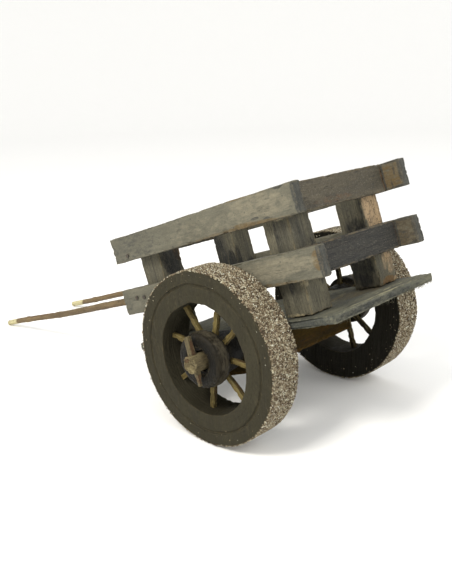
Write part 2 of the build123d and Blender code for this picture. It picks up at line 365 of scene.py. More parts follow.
def rounded_rectangle(half_wide: float, half_high: float, corner: float,
                      spacing: float) -> tuple[np.ndarray, np.ndarray, np.ndarray]:
    """Points round a rectangle with round corners.

    Each side is a straight run of even steps and each corner a quarter circle.

    Args:
        half_wide: Half the width.
        half_high: Half the height.
        corner: The corners' radius.
        spacing: The wanted step.

    Returns:
        Points, outward normals, and how near each point is to a corner (0 to 1).
    """
    core = np.array([half_wide - corner, half_high - corner])
    signs = np.array([[1, 1], [-1, 1], [-1, -1], [1, -1]], float)
    points, normals, nearness = [], [], []
    for quarter in range(4):
        turn = np.linspace(0.0, math.pi / 2, ARC_STEPS) + quarter * math.pi / 2
        out = np.stack((np.cos(turn), np.sin(turn)), axis=-1)
        points.append(signs[quarter] * core + corner * out)
        normals.append(out)
        nearness.append(np.ones(ARC_STEPS))
        run = signs[(quarter + 1) % 4] * core - signs[quarter] * core
        length = float(np.abs(run).sum())
        count = max(2, int(length / spacing))
        share = (np.arange(1, count) / count)[:, None]
        points.append(points[-1][-1] + share * run)
        normals.append(np.repeat(out[-1:], count - 1, axis=0))
        away = np.minimum(share, 1.0 - share)[:, 0] * length
        nearness.append(1.0 - smooth_step(away, 0.0, EDGE_FADE))
    return np.concatenate(points), np.concatenate(normals), np.concatenate(nearness)


def end_rows(length: float, corner: float, deep: float,
             spacing: float) -> tuple[np.ndarray, ...]:
    """Rows of a piece closed at both ends: flat end, round edge, side, and back.

    A row on the flat end is the section scaled towards its centre; a row on the
    round edge is set in by the corner radius times one less the sine of its turn.

    Args:
        length: The piece's length.
        corner: Radius of the end's edge.
        deep: Half the smaller width, which sets how many rows the flat end has.
        spacing: The wanted step.

    Returns:
        For each row its place along, inset, scale, share of the normal that looks
        along the piece, and how near it is to the end's edge.
    """
    rings = max(3, int(deep / spacing))
    scale = np.linspace(INNERMOST, 1.0, rings, endpoint=False)
    turn = np.linspace(0.0, math.pi / 2, ARC_STEPS)
    count = max(4, int((length - 2 * corner) / spacing))
    run = np.linspace(corner, length - corner, count)[1:-1]
    along = np.concatenate((np.zeros(rings), corner * (1 - np.cos(turn))))
    inset = np.concatenate((np.full(rings, corner), corner * (1 - np.sin(turn))))
    shrink = np.concatenate((scale, np.ones(len(turn))))
    facing = np.concatenate((np.ones(rings), np.cos(turn)))
    edge = np.concatenate((smooth_step(scale, END_EDGE, 1.0), np.ones(len(turn))))
    away = np.minimum(run, length - run)
    return (np.concatenate((along, run, length - along[::-1])),
            np.concatenate((inset, 0 * run, inset[::-1])),
            np.concatenate((shrink, 0 * run + 1, shrink[::-1])),
            np.concatenate((-facing, 0 * run, facing[::-1])),
            np.concatenate((edge, 1 - smooth_step(away, 0.0, END_FADE), edge[::-1])))


class Stain(Enum):
    """What exposure and handling did to a patch of wood; DARK also serves as painted
    shade.
    """

    BLEACHED = 0
    BROWN = 1
    DARK = 2


@dataclass(frozen=True)
class Patch:
    """A patch of staining, or for some dark ones painted shade: its place in shares of
    the half size, its size in metres.
    """

    stain: Stain
    at: tuple[float, float, float]
    size: tuple[float, float, float]
    strength: float = 1.0


def stained_patch(stain: Stain) -> Callable[..., Patch]:
    """A maker of patches of one kind, whose dark patches also serve as painted shade.

    Args:
        stain: The kind; its dark kind also serves as painted shade.

    Returns:
        A function of a place, a size in millimetres and a strength.
    """
    def make(at: tuple[float, float, float], size: tuple[float, float, float],
             strength: float) -> Patch:
        """One patch, its size in millimetres."""
        return Patch(stain, at, tuple(value * MM for value in size), strength)

    return make


PATCH_FADE = (0.55, 1.1)


def stains(patches: Sequence[Patch], points: np.ndarray,
           half: np.ndarray) -> np.ndarray:
    """Strength of each kind of staining and painted shade at each point: its strongest
    patch there.

    Args:
        patches: The patches.
        points: Places from the piece's centre, grain first.
        half: Half the piece's size.

    Returns:
        Three values a point: bleaching, brown and dark, the dark one also painted
            shade.
    """
    made = np.zeros(points.shape)
    for patch in patches:
        away = np.linalg.norm(
            (points - np.array(patch.at) * half) / np.array(patch.size), axis=-1)
        kind = patch.stain.value
        made[..., kind] = np.maximum(
            made[..., kind], patch.strength * (1 - smooth_step(away, *PATCH_FADE)))
    return made


bleached_patch = stained_patch(Stain.BLEACHED)
brown_patch = stained_patch(Stain.BROWN)
dark_patch = stained_patch(Stain.DARK)


@dataclass(frozen=True)
class Dent:
    """A knock that takes wood away: its place, and its radius and depth in metres."""

    at: tuple[float, float, float]
    radius: float
    depth: float


@dataclass
class Board:
    """A straight piece of wood: a rounded rectangle carried along the grain.

    The surface is the section moved along the grain and drawn in along its own
    normal by fine fibre ridges, slow waviness, lost edges and knocks, so it never
    leaves the size of its CAD node. WAVES holds the wavelengths and the number of
    waves of the fibres, the crumbling end grain, the waviness and the lost edges.
    """

    WAVES: ClassVar = (((45 * MM, 1.6 * MM, 1.6 * MM), 22),
                       ((2.2 * MM, 1.5 * MM, 1.5 * MM), 20),
                       ((90 * MM, 22 * MM, 22 * MM), 10),
                       ((9 * MM, 4 * MM, 4 * MM), 18))
    END_DEPTH: ClassVar[float] = 1.6
    NIBBLED: ClassVar = (0.45, 1.0)
    DENT_SIDE: ClassVar = (0.25, 1.0)
    node: str
    slot: str
    finish: bpy.types.Material
    lay: Lay
    seed: int
    body: str = CART_BODY
    corner: float = 0.9 * MM
    spacing: float = 0.7 * MM
    fibre_depth: float = 0.14 * MM
    wander: float = 0.35 * MM
    edge_loss: float = 0.55 * MM
    low_taper: float = 1.0
    taper_share: float = 0.5
    patches: tuple[Patch, ...] = ()
    dents: tuple[Dent, ...] = ()

    def build(self) -> bpy.types.Object:
        """Work out the surface and settle it on its body.

        Returns:
            The finished piece, which stands for its CAD node.
        """
        half = self.lay.half
        section, out, sharp = rounded_rectangle(half[1], half[2], self.corner,
                                                self.spacing)
        along, inset, scale, facing, edge = end_rows(
            2 * half[0], self.corner, min(half[1], half[2]), self.spacing)
        share = along / (2 * half[0])
        narrow = 1.0 - (1.0 - self.low_taper) * (1 - smooth_step(
            share, 0.0, self.taper_share))
        across = (section[None] - out[None] * inset[:, None, None])
        across = across * (scale * narrow)[:, None, None]
        points = np.concatenate((np.broadcast_to(
            (along - half[0])[:, None, None], across.shape[:2] + (1,)), across),
            axis=-1)
        side = np.sqrt(np.clip(1.0 - facing**2, 0.0, 1.0))
        normals = np.concatenate((np.broadcast_to(
            facing[:, None, None], across.shape[:2] + (1,)),
            out[None] * side[:, None, None]), axis=-1)
        wear = np.maximum(sharp[None] * side[:, None],
                          edge[:, None] * np.ones(len(out)))
        cap = np.repeat(np.abs(facing)[:, None], len(out), axis=1)
        points = points - normals * self.taken_off(points, wear, cap)[..., None]
        draw = np.random.default_rng(self.seed)
        marks = {"place": points + draw.uniform(-1.0, 1.0, 3),
                 "stain": stains(self.patches, points, half), "wear": wear,
                 "end": cap}
        piece = skin(f"{self.node}_wood", self.lay.world(points), marks)
        return settle(piece, self.body, self.slot, self.finish, self.node)

    def taken_off(self, points: np.ndarray, wear: np.ndarray,
                  cap: np.ndarray) -> np.ndarray:
        """How much wood is missing at each point: the sum of all four losses.

        Args:
            points: Places from the piece's centre, grain first.
            wear: How near each point is to an edge.
            cap: Where the end grain is.

        Returns:
            The depth to draw in, in metres.
        """
        fibre, crumbly, slow, nibble = (
            Ripple(self.seed + number, lengths, waves)(points)
            for number, (lengths, waves) in enumerate(self.WAVES))
        loss = self.fibre_depth * (fibre * (1 - cap) + self.END_DEPTH * crumbly * cap)
        loss = loss + self.wander * slow
        loss = loss + self.edge_loss * wear * smooth_step(nibble, *self.NIBBLED)
        for dent in self.dents:
            away = np.linalg.norm(points - np.array(dent.at) * self.lay.half, axis=-1)
            loss = loss + dent.depth * (
                1 - smooth_step(away / dent.radius, *self.DENT_SIDE))
        return loss


@dataclass
class Stick:
    """A round piece: circles carried along a slightly bent centre line.

    Each circle's radius follows a straight taper, swells at knots, is flattened
    by whittled facets near the ends, and loses a little to bark ridges.
    """

    node: str
    slot: str
    finish: bpy.types.Material
    start: np.ndarray
    end: np.ndarray
    start_radius: float
    end_radius: float
    seed: int
    body: str = CART_BODY
    spacing: float = 0.6 * MM
    around: int = 36
    corner: float = 0.8 * MM
    bend: float = 0.0
    knots: tuple[float, ...] = ()
    knot_swell: float = 0.5 * MM
    whittled: float = 0.0
    whittle_reach: float = 9.0 * MM
    bark_depth: float = 0.18 * MM
    patches: tuple[Patch, ...] = ()
    KNOT_WIDTH: ClassVar[float] = 3.0 * MM
    FACETS: ClassVar[int] = 5
    FACET_TWIST: ClassVar[float] = 3.0
    WHITTLE_FULL: ClassVar[float] = 0.3
    BOW_SWAY: ClassVar = (2.3 * math.pi, 0.4)
    BOW_AIM: ClassVar = (0.0, 0.7, 0.7)
    BARK: ClassVar = ((11 * MM, 2.5 * MM, 2.5 * MM), 22)
    CRUMBS: ClassVar = ((2.0 * MM,) * 3, 18)
    END_DEPTH: ClassVar[float] = 2.0

    def build(self) -> bpy.types.Object:
        """Work out the surface and settle it on its body.

        Returns:
            The finished piece, which stands for its CAD node.
        """
        line = self.end - self.start
        length = float(np.linalg.norm(line))
        axis = line / length
        side = np.cross(axis, (0.0, 0.0, 1.0))
        side = side / np.linalg.norm(side)
        frame_rows = np.stack((axis, side, np.cross(axis, side)))
        along, inset, scale, facing, edge = end_rows(
            length, self.corner, self.end_radius, self.spacing)
        turn = np.linspace(0.0, FULL_TURN, self.around, endpoint=False)
        share = along / length
        radius = self.start_radius + (self.end_radius - self.start_radius) * share
        for knot in self.knots:
            near = (share - knot) * length / self.KNOT_WIDTH
            radius = radius + self.knot_swell * np.exp(-near**2)
        radius = np.minimum(radius, max(self.start_radius, self.end_radius))
        reach = np.minimum(along, length - along)
        flat = self.whittled * (1 - smooth_step(
            reach, self.WHITTLE_FULL * self.whittle_reach, self.whittle_reach))
        facet = 0.5 - 0.5 * np.cos(
            self.FACETS * turn[None] + self.FACET_TWIST * share[:, None])
        spread = ((radius - inset) * scale)[:, None] * (1 - flat[:, None] * facet)
        sway, lead = self.BOW_SWAY
        bowed = self.bend * np.sin(math.pi * share) * np.sin(sway * share + lead)
        grid = np.stack(np.broadcast_arrays(
            along[:, None], spread * np.cos(turn), spread * np.sin(turn)), axis=-1)
        ripple = Ripple(self.seed, *self.BARK)(grid)
        crumbly = Ripple(self.seed + 1, *self.CRUMBS)(grid)
        cap = np.repeat(np.abs(facing)[:, None], self.around, axis=1)
        loss = self.bark_depth * (
            ripple * (1 - cap) + self.END_DEPTH * crumbly * cap)
        normals = np.stack(np.broadcast_arrays(
            facing[:, None], np.sqrt(1 - facing[:, None]**2) * np.cos(turn),
            np.sqrt(1 - facing[:, None]**2) * np.sin(turn)), axis=-1)
        grid = grid - normals * loss[..., None]
        bent = grid + bowed[:, None, None] * np.array(self.BOW_AIM)
        draw = np.random.default_rng(self.seed)
        centred = grid - np.array((length / 2, 0.0, 0.0))
        reachable = np.array((length / 2, self.start_radius, self.start_radius))
        marks = {"place": grid + draw.uniform(-1.0, 1.0, 3),
                 "stain": stains(self.patches, centred, reachable),
                 "wear": np.repeat(edge[:, None], self.around, axis=1), "end": cap}
        piece = skin(f"{self.node}_wood", self.start + bent @ frame_rows, marks)
        return settle(piece, self.body, self.slot, self.finish, self.node)


def even_outline(points: np.ndarray, count: int, rounding: int) -> np.ndarray:
    """Spread points evenly round a closed outline, then round its corners.

    The corners are rounded by averaging each point with its neighbours.

    Args:
        points: The outline's corners, two columns, in order.
        count: How many points to give.
        rounding: How many times neighbours are averaged.

    Returns:
        The evenly spaced outline.
    """
    closed = np.concatenate((points, points[:1]))
    lengths = np.concatenate(([0.0], np.cumsum(
        np.linalg.norm(np.diff(closed, axis=0), axis=1))))
    wanted = np.linspace(0.0, lengths[-1], count, endpoint=False)
    outline = np.stack((np.interp(wanted, lengths, closed[:, 0]),
                        np.interp(wanted, lengths, closed[:, 1])), axis=-1)
    for _ in range(rounding):
        outline = (np.roll(outline, 1, axis=0) + 2 * outline
                   + np.roll(outline, -1, axis=0)) / 4.0
    return outline


def outward(outline: np.ndarray) -> np.ndarray:
    """Unit normals of a closed outline, pointing out of it.

    Args:
        outline: Points round the outline, two columns.

    Returns:
        One normal a point.
    """
    ahead = np.roll(outline, -1, axis=0) - np.roll(outline, 1, axis=0)
    normal = np.stack((ahead[:, 1], -ahead[:, 0]), axis=-1)
    normal /= np.linalg.norm(normal, axis=1, keepdims=True) + 1e-12
    x, y = outline.T
    area = (x * np.roll(y, -1) - np.roll(x, -1) * y).sum()
    return normal if area > 0 else -normal


# --------------------------------------------------------------- materials


@dataclass(frozen=True)
class Noise:
    """One cloudy noise: its scale per metre, its finer detail, and its stretch."""

    scale: float
    detail: float
    roughness: float = 0.55
    stretch: tuple[float, float, float] | None = None


class Wiring:
    """Adds nodes to one shader tree and joins them."""

    def __init__(self, tree: bpy.types.NodeTree) -> None:
        """Keep the tree that nodes are added to."""
        self.tree = tree

    def put(self, socket: Any, value: Any) -> None:
        """Link a socket, or set its own value.

        Args:
            socket: The input to feed.
            value: Another node's output, a number, or a row of numbers.
        """
        if isinstance(value, bpy.types.NodeSocket):
            self.tree.links.new(value, socket)
        elif isinstance(value, tuple) and socket.type == "RGBA":
            socket.default_value = (*value, 1.0)
        else:
            socket.default_value = value

    def node(self, kind: str, inputs: dict[Any, Any] | None = None,
             **settings: Any) -> bpy.types.Node:
        """Add a node.

        Args:
            kind: Its type after the word ShaderNode.
            inputs: Values or sockets for its inputs, by name or number.
            settings: Properties to set on it first.

        Returns:
            The node.
        """
        made = self.tree.nodes.new(f"ShaderNode{kind}")
        for key, value in settings.items():
            setattr(made, key, value)
        for key, value in (inputs or {}).items():
            self.put(made.inputs[key], value)
        return made

    def sum(self, operation: str, first: Any, second: Any = 0.0,
            clamp: bool = False) -> bpy.types.NodeSocket:
        """One step of arithmetic on two values."""
        return self.node("Math", {0: first, 1: second}, operation=operation,
                         use_clamp=clamp).outputs[0]

    def ease(self, value: Any, low: float, high: float, start: float = 0.0,
             stop: float = 1.0) -> bpy.types.NodeSocket:
        """A smooth change from start to stop as value goes from low to high."""
        return self.node("MapRange", {0: value, 1: low, 2: high, 3: start, 4: stop},
                         interpolation_type="SMOOTHSTEP").outputs[0]

    def mix(self, share: Any, first: Any, second: Any,
            blend: str = "MIX") -> bpy.types.NodeSocket:
        """Mix two colours by a share."""
        return self.node("Mix", {0: share, 6: first, 7: second}, data_type="RGBA",
                         blend_type=blend).outputs[2]

    def stretch(self, vector: Any, scale: tuple[float, float, float]) -> Any:
        """Multiply a vector by three numbers."""
        return self.node("VectorMath", {0: vector, 1: scale},
                         operation="MULTIPLY").outputs[0]

    def cloud(self, place: Any, noise: Noise) -> bpy.types.NodeSocket:
        """Cloudy noise at a place, near a half."""
        if noise.stretch is not None:
            place = self.stretch(place, noise.stretch)
        return self.node("TexNoise", {"Vector": place, "Scale": noise.scale,
                                      "Detail": noise.detail,
                                      "Roughness": noise.roughness}).outputs[0]

    def line(self, place: Any, noise: Noise, width: float) -> bpy.types.NodeSocket:
        """Thin lines where a noise crosses a half: 1 on the line, 0 away from it."""
        away = self.sum("ABSOLUTE", self.sum("SUBTRACT", self.cloud(place, noise), 0.5))
        return self.ease(away, 0.0, width, 1.0, 0.0)


def blank_material(name: str) -> tuple[bpy.types.Material, Wiring, bpy.types.Node]:
    """Start a material with nodes.

    Args:
        name: Its name.

    Returns:
        The material, its wiring and its shader node.
    """
    made = bpy.data.materials.new(name)
    made.use_nodes = True
    return made, Wiring(made.node_tree), made.node_tree.nodes["Principled BSDF"]


class Effects:
    """Shader effects that several finishes share, each built once as a group.

    Each noise is stretched along the grain, and each span says at which noise
    values an effect starts and is full.
    """

    STREAK = Noise(1.0, 5.0, 0.68, (55.0, 1500.0, 1500.0))
    RING = Noise(1.0, 4.0, 0.7, (30.0, 900.0, 900.0))
    BAND = Noise(1.0, 3.0, 0.55, (14.0, 120.0, 120.0))
    CRACK = Noise(1.0, 3.0, 0.6, (20.0, 330.0, 330.0))
    CRACKED = Noise(75.0, 2.0)
    SPLIT = Noise(1.0, 4.0, 0.65, (110.0, 210.0, 210.0))
    RAGGED = Noise(420.0, 5.0, 0.65, (0.45, 1.0, 1.0))
    CLOUD = Noise(60.0, 4.0, 0.6)
    MOTTLE = Noise(950.0, 5.0, 0.75, (0.6, 1.0, 1.0))
    FINE = Noise(1300.0, 4.0, 0.85)
    COARSE = Noise(900.0, 3.0, 0.75)
    STREAK_SPAN = (0.33, 0.67)
    BAND_SPAN = (0.35, 0.65)
    CRACKED_SPAN = (0.50, 0.60)
    CRACK_WIDTH = 0.014
    SPLIT_WIDTH = 0.02
    STREAK_HEIGHT = 0.6
    CRACK_DEPTH = 1.4
    # Ragged edges of the staining masks, which also shape painted shade and a painted
    # highlight.
    STAIN_SPAN = (0.25, 0.75)
    STAIN_START = 0.15
    STAIN_RAG = 1.3
    EDGE_SPAN = (0.75, 1.25)
    EDGE_RAG = 1.8
    MOTTLE_SPAN = (0.3, 0.7)
    SPECK_SPAN = (0.56, 0.68)
    PIT_SPAN = (0.40, 0.30)
    DOT_SCALE = 260.0
    DOT_SPAN = (0.55, 1.0)
    DOT_SIZE = 0.17

    def __init__(self) -> None:
        """Build the three groups."""
        self.fibre = self.build_fibre()
        self.weather = self.build_weather()
        self.speckle = self.build_speckle()

    @staticmethod
    def opened(name: str, takes: Sequence[tuple[str, str]],
               gives: Sequence[str]) -> tuple[Wiring, Any, Any]:
        """Start a group with its sockets.

        Args:
            name: The group's name.
            takes: Name and kind of each input.
            gives: Name of each value that it puts out.

        Returns:
            Its wiring, its input node's outputs and its output node's inputs.
        """
        tree = bpy.data.node_groups.new(name, "ShaderNodeTree")
        for label, kind in takes:
            tree.interface.new_socket(label, in_out="INPUT",
                                      socket_type=f"NodeSocket{kind}")
        for label in gives:
            tree.interface.new_socket(label, in_out="OUTPUT",
                                      socket_type="NodeSocketFloat")
        entry = tree.nodes.new("NodeGroupInput")
        leave = tree.nodes.new("NodeGroupOutput")
        return Wiring(tree), entry.outputs, leave.inputs

    def build_fibre(self) -> bpy.types.NodeTree:
        """Wood fibre: thin streaks, wide bands, drying cracks and their height."""
        w, given, wanted = self.opened(
            "wood_fibre", (("Place", "Vector"), ("End", "Float")),
            ("Streaks", "Bands", "Cracks", "Splits", "Height"))
        place = given["Place"]
        streak = w.node("Mix", {0: given["End"], 2: w.cloud(place, self.STREAK),
                                3: w.cloud(place, self.RING)},
                        data_type="FLOAT").outputs[0]
        streaks = w.ease(streak, *self.STREAK_SPAN)
        bands = w.ease(w.cloud(place, self.BAND), *self.BAND_SPAN)
        where = w.ease(w.cloud(place, self.CRACKED), *self.CRACKED_SPAN)
        cracks = w.sum("MULTIPLY", w.line(place, self.CRACK, self.CRACK_WIDTH), where)
        splits = w.line(place, self.SPLIT, self.SPLIT_WIDTH)
        height = w.sum("SUBTRACT", w.sum("MULTIPLY", streaks, self.STREAK_HEIGHT),
                       w.sum("MULTIPLY", cracks, self.CRACK_DEPTH))
        for label, value in (("Streaks", streaks), ("Bands", bands),
                             ("Cracks", cracks), ("Splits", splits),
                             ("Height", height)):
            w.put(wanted[label], value)
        return w.tree

    def build_weather(self) -> bpy.types.NodeTree:
        """Ragged masks for pale, brown, dark and edge-worn wood; the dark mask also
        lays painted shade, the pale one a painted highlight.
        """
        w, given, wanted = self.opened(
            "weathering",
            (("Place", "Vector"), ("Stain", "Vector"), ("Wear", "Float")),
            ("Bleached", "Brown", "Dark", "Edge", "Clouds", "Mottle"))
        place = given["Place"]
        ragged = w.sum("SUBTRACT", w.cloud(place, self.RAGGED), 0.5)
        split = w.node("SeparateXYZ", {0: given["Stain"]})
        for kind, label in enumerate(("Bleached", "Brown", "Dark")):
            torn = w.sum("ADD", split.outputs[kind],
                         w.sum("MULTIPLY", ragged, self.STAIN_RAG))
            present = w.ease(split.outputs[kind], 0.0, self.STAIN_START)
            w.put(wanted[label],
                  w.sum("MULTIPLY", w.ease(torn, *self.STAIN_SPAN), present))
        rubbed = w.sum("ADD", given["Wear"], w.sum("MULTIPLY", ragged, self.EDGE_RAG))
        w.put(wanted["Edge"], w.ease(rubbed, *self.EDGE_SPAN))
        w.put(wanted["Clouds"], w.ease(w.cloud(place, self.CLOUD), *self.BAND_SPAN))
        w.put(wanted["Mottle"], w.ease(w.cloud(place, self.MOTTLE), *self.MOTTLE_SPAN))
        return w.tree

    def build_speckle(self) -> bpy.types.NodeTree:
        """Fine light specks, dark pits and single dark dots."""
        w, given, wanted = self.opened("speckle", (("Place", "Vector"),),
                                       ("Light", "Pits", "Dots"))
        place = given["Place"]
        w.put(wanted["Light"], w.ease(w.cloud(place, self.FINE), *self.SPECK_SPAN))
        w.put(wanted["Pits"], w.ease(w.cloud(place, self.COARSE), *self.PIT_SPAN))
        cells = w.node("TexVoronoi", {"Vector": place, "Scale": self.DOT_SCALE})
        size = w.node("SeparateColor", {0: cells.outputs["Color"]}).outputs[0]
        reach = w.sum("MULTIPLY", w.ease(size, *self.DOT_SPAN), self.DOT_SIZE)
        dots = w.sum("LESS_THAN", cells.outputs["Distance"], reach)
        w.put(wanted["Dots"], dots)
        return w.tree


@dataclass(frozen=True)
class WoodFinish:
    """Old wood: streaked, paled and grimed, with worn edges and end grain, plus painted
    shade and a painted highlight.
    """

    name: str
    deep: Colour
    light: Colour
    bleached: Colour
    brown: Colour
    dark: Colour
    edge: Colour
    end_grain: Colour
    speck: Colour
    speck_share: float = 0.35
    pit_share: float = 0.5
    edge_share: float = 0.7
    end_share: float = 0.7
    crack_share: float = 0.8
    dot_share: float = 0.5
    split_share: float = 0.0
    mottle_share: float = 0.5
    rough_low: float = 0.62
    rough_high: float = 0.9
    specular: float = 0.25
    bump: float = 0.6
    own_marks: bool = True
    STREAK_PART: ClassVar[float] = 0.55
    BAND_PART: ClassVar[float] = 0.45
    CLOUD_SHARE: ClassVar[float] = 0.35
    END_SPAN: ClassVar = (0.4, 0.9)
    STAIN_STREAK: ClassVar = (0.35, 0.65)
    MOTTLE_SPAN: ClassVar = (0.62, 1.22)
    PIT_DEPTH: ClassVar[float] = 0.5
    BUMP_HEIGHT: ClassVar[float] = 0.25 * MM

    def material(self, effects: Effects) -> bpy.types.Material:
        """Build the material.

        Args:
            effects: The shared shader groups.

        Returns:
            The material.
        """
        made, w, shader = blank_material(self.name)
        if self.own_marks:
            place = w.node("Attribute", attribute_name="place").outputs["Vector"]
            stain = w.node("Attribute", attribute_name="stain").outputs["Vector"]
            wear = w.node("Attribute", attribute_name="wear").outputs["Fac"]
            end = w.node("Attribute", attribute_name="end").outputs["Fac"]
        else:
            place = w.node("TexCoord").outputs["Object"]
            stain, wear, end = (0.0, 0.0, 0.0), 0.0, 0.0
        fibre = w.node("Group", {}, node_tree=effects.fibre)
        weather = w.node("Group", {}, node_tree=effects.weather)
        speckle = w.node("Group", {}, node_tree=effects.speckle)
        for group in (fibre, weather, speckle):
            w.put(group.inputs["Place"], place)
        w.put(fibre.inputs["End"], end)
        w.put(weather.inputs["Stain"], stain)
        w.put(weather.inputs["Wear"], wear)
        streaks = fibre.outputs["Streaks"]
        grown = w.sum("ADD", w.sum("MULTIPLY", streaks, self.STREAK_PART),
                      w.sum("MULTIPLY", fibre.outputs["Bands"], self.BAND_PART))
        part, rest = self.STAIN_STREAK
        streaked = w.sum("ADD", w.sum("MULTIPLY", streaks, part), rest)
        open_wood = w.sum("MULTIPLY", fibre.outputs["Splits"],
                          weather.outputs["Bleached"])
        colour = w.mix(grown, self.deep, self.light)
        # The dark mask also lays painted shade (hub back and bore, rim back and hole,
        # spokes' inner faces, parts of posts, rails and floor); the pale mask lays the
        # hub shoulder's painted highlight.
        for mask, share, tone in (
                (weather.outputs["Clouds"], self.CLOUD_SHARE, self.deep),
                (w.ease(end, *self.END_SPAN), self.end_share, self.end_grain),
                (weather.outputs["Brown"], streaked, self.brown),
                (weather.outputs["Bleached"], streaked, self.bleached),
                (weather.outputs["Dark"], streaked, self.dark),
                (weather.outputs["Edge"], self.edge_share, self.edge),
                (speckle.outputs["Pits"], self.pit_share, self.dark),
                (speckle.outputs["Light"], self.speck_share, self.speck),
                (speckle.outputs["Dots"], self.dot_share, self.dark),
                (fibre.outputs["Cracks"], self.crack_share, self.dark),
                (open_wood, self.split_share, self.dark)):
            colour = w.mix(w.sum("MULTIPLY", mask, share), colour, tone)
        mottle = w.ease(weather.outputs["Mottle"], 0.0, 1.0, *self.MOTTLE_SPAN)
        grey = w.node("CombineXYZ", {0: mottle, 1: mottle, 2: mottle}).outputs[0]
        colour = w.mix(self.mottle_share, colour,
                       w.node("VectorMath", {0: colour, 1: grey},
                              operation="MULTIPLY").outputs[0])
        w.put(shader.inputs["Base Color"], colour)
        w.put(shader.inputs["Roughness"],
              w.ease(grown, 0.0, 1.0, self.rough_low, self.rough_high))
        w.put(shader.inputs["Specular IOR Level"], self.specular)
        height = w.sum("SUBTRACT", fibre.outputs["Height"],
                       w.sum("MULTIPLY", speckle.outputs["Pits"], self.PIT_DEPTH))
        bump = w.node("Bump", {"Strength": self.bump, "Distance": self.BUMP_HEIGHT,
                               "Height": height})
        w.put(shader.inputs["Normal"], bump.outputs[0])
        return made


@dataclass(frozen=True)
class SandFinish:
    """Sand: every grain has its own tint, from dark brown to white."""

    name: str
    tones: tuple[tuple[float, Colour], ...]
    rough_low: float = 0.45
    rough_high: float = 0.95
    specular: float = 0.4
    mottle: Noise = Noise(1500.0, 3.0, 0.7)
    mottle_share: float = 0.35
    bump: float = 0.5
    bump_height: float = 0.2 * MM

    def material(self) -> bpy.types.Material:
        """Build the material.

        Returns:
            The material.
        """
        made, w, shader = blank_material(self.name)
        tint = w.node("Attribute", attribute_name="tint").outputs["Fac"]
        place = w.node("TexCoord").outputs["Object"]
        mottle = w.cloud(place, self.mottle)
        shift = w.sum("MULTIPLY", w.sum("SUBTRACT", mottle, 0.5), self.mottle_share)
        mixed = w.sum("ADD", tint, shift, clamp=True)
        ramp = w.node("ValToRGB", {0: mixed})
        stops = ramp.color_ramp.elements
        stops[0].position, stops[0].color = self.tones[0][0], (*self.tones[0][1], 1.0)
        stops[1].position, stops[1].color = self.tones[-1][0], (*self.tones[-1][1], 1.0)
        for position, tone in self.tones[1:-1]:
            stops.new(position).color = (*tone, 1.0)
        w.put(shader.inputs["Base Color"], ramp.outputs[0])
        w.put(shader.inputs["Roughness"],
              w.ease(mixed, 0.0, 1.0, self.rough_high, self.rough_low))
        w.put(shader.inputs["Specular IOR Level"], self.specular)
        bump = w.node("Bump", {"Strength": self.bump, "Distance": self.bump_height,
                               "Height": mottle})
        w.put(shader.inputs["Normal"], bump.outputs[0])
        return made


@dataclass(frozen=True)
class IronFinish:
    """Small iron nails: dull dark metal under patches of rust."""

    name: str
    metal: Colour
    rust: Colour
    bright_rust: Colour
    patches: Noise = Noise(900.0, 4.0, 0.65)
    patch_span: tuple[float, float] = (0.42, 0.58)
    bloom: Noise = Noise(2600.0, 3.0, 0.7)
    bloom_span: tuple[float, float] = (0.45, 0.62)
    bare_metal: float = 0.75
    bare_rough: float = 0.45
    rust_rough: float = 0.92
    bump: float = 0.7
    bump_height: float = 0.15 * MM

    def material(self) -> bpy.types.Material:
        """Build the material.

        Returns:
            The material.
        """
        made, w, shader = blank_material(self.name)
        place = w.node("TexCoord").outputs["Object"]
        cover = w.ease(w.cloud(place, self.patches), *self.patch_span)
        bloom = w.ease(w.cloud(place, self.bloom), *self.bloom_span)
        rusted = w.mix(bloom, self.rust, self.bright_rust)
        w.put(shader.inputs["Base Color"], w.mix(cover, self.metal, rusted))
        w.put(shader.inputs["Metallic"], w.ease(cover, 0.0, 1.0, self.bare_metal, 0.0))
        w.put(shader.inputs["Roughness"],
              w.ease(cover, 0.0, 1.0, self.bare_rough, self.rust_rough))
        bump = w.node("Bump", {"Strength": self.bump, "Distance": self.bump_height,
                               "Height": bloom})
        w.put(shader.inputs["Normal"], bump.outputs[0])
        return made


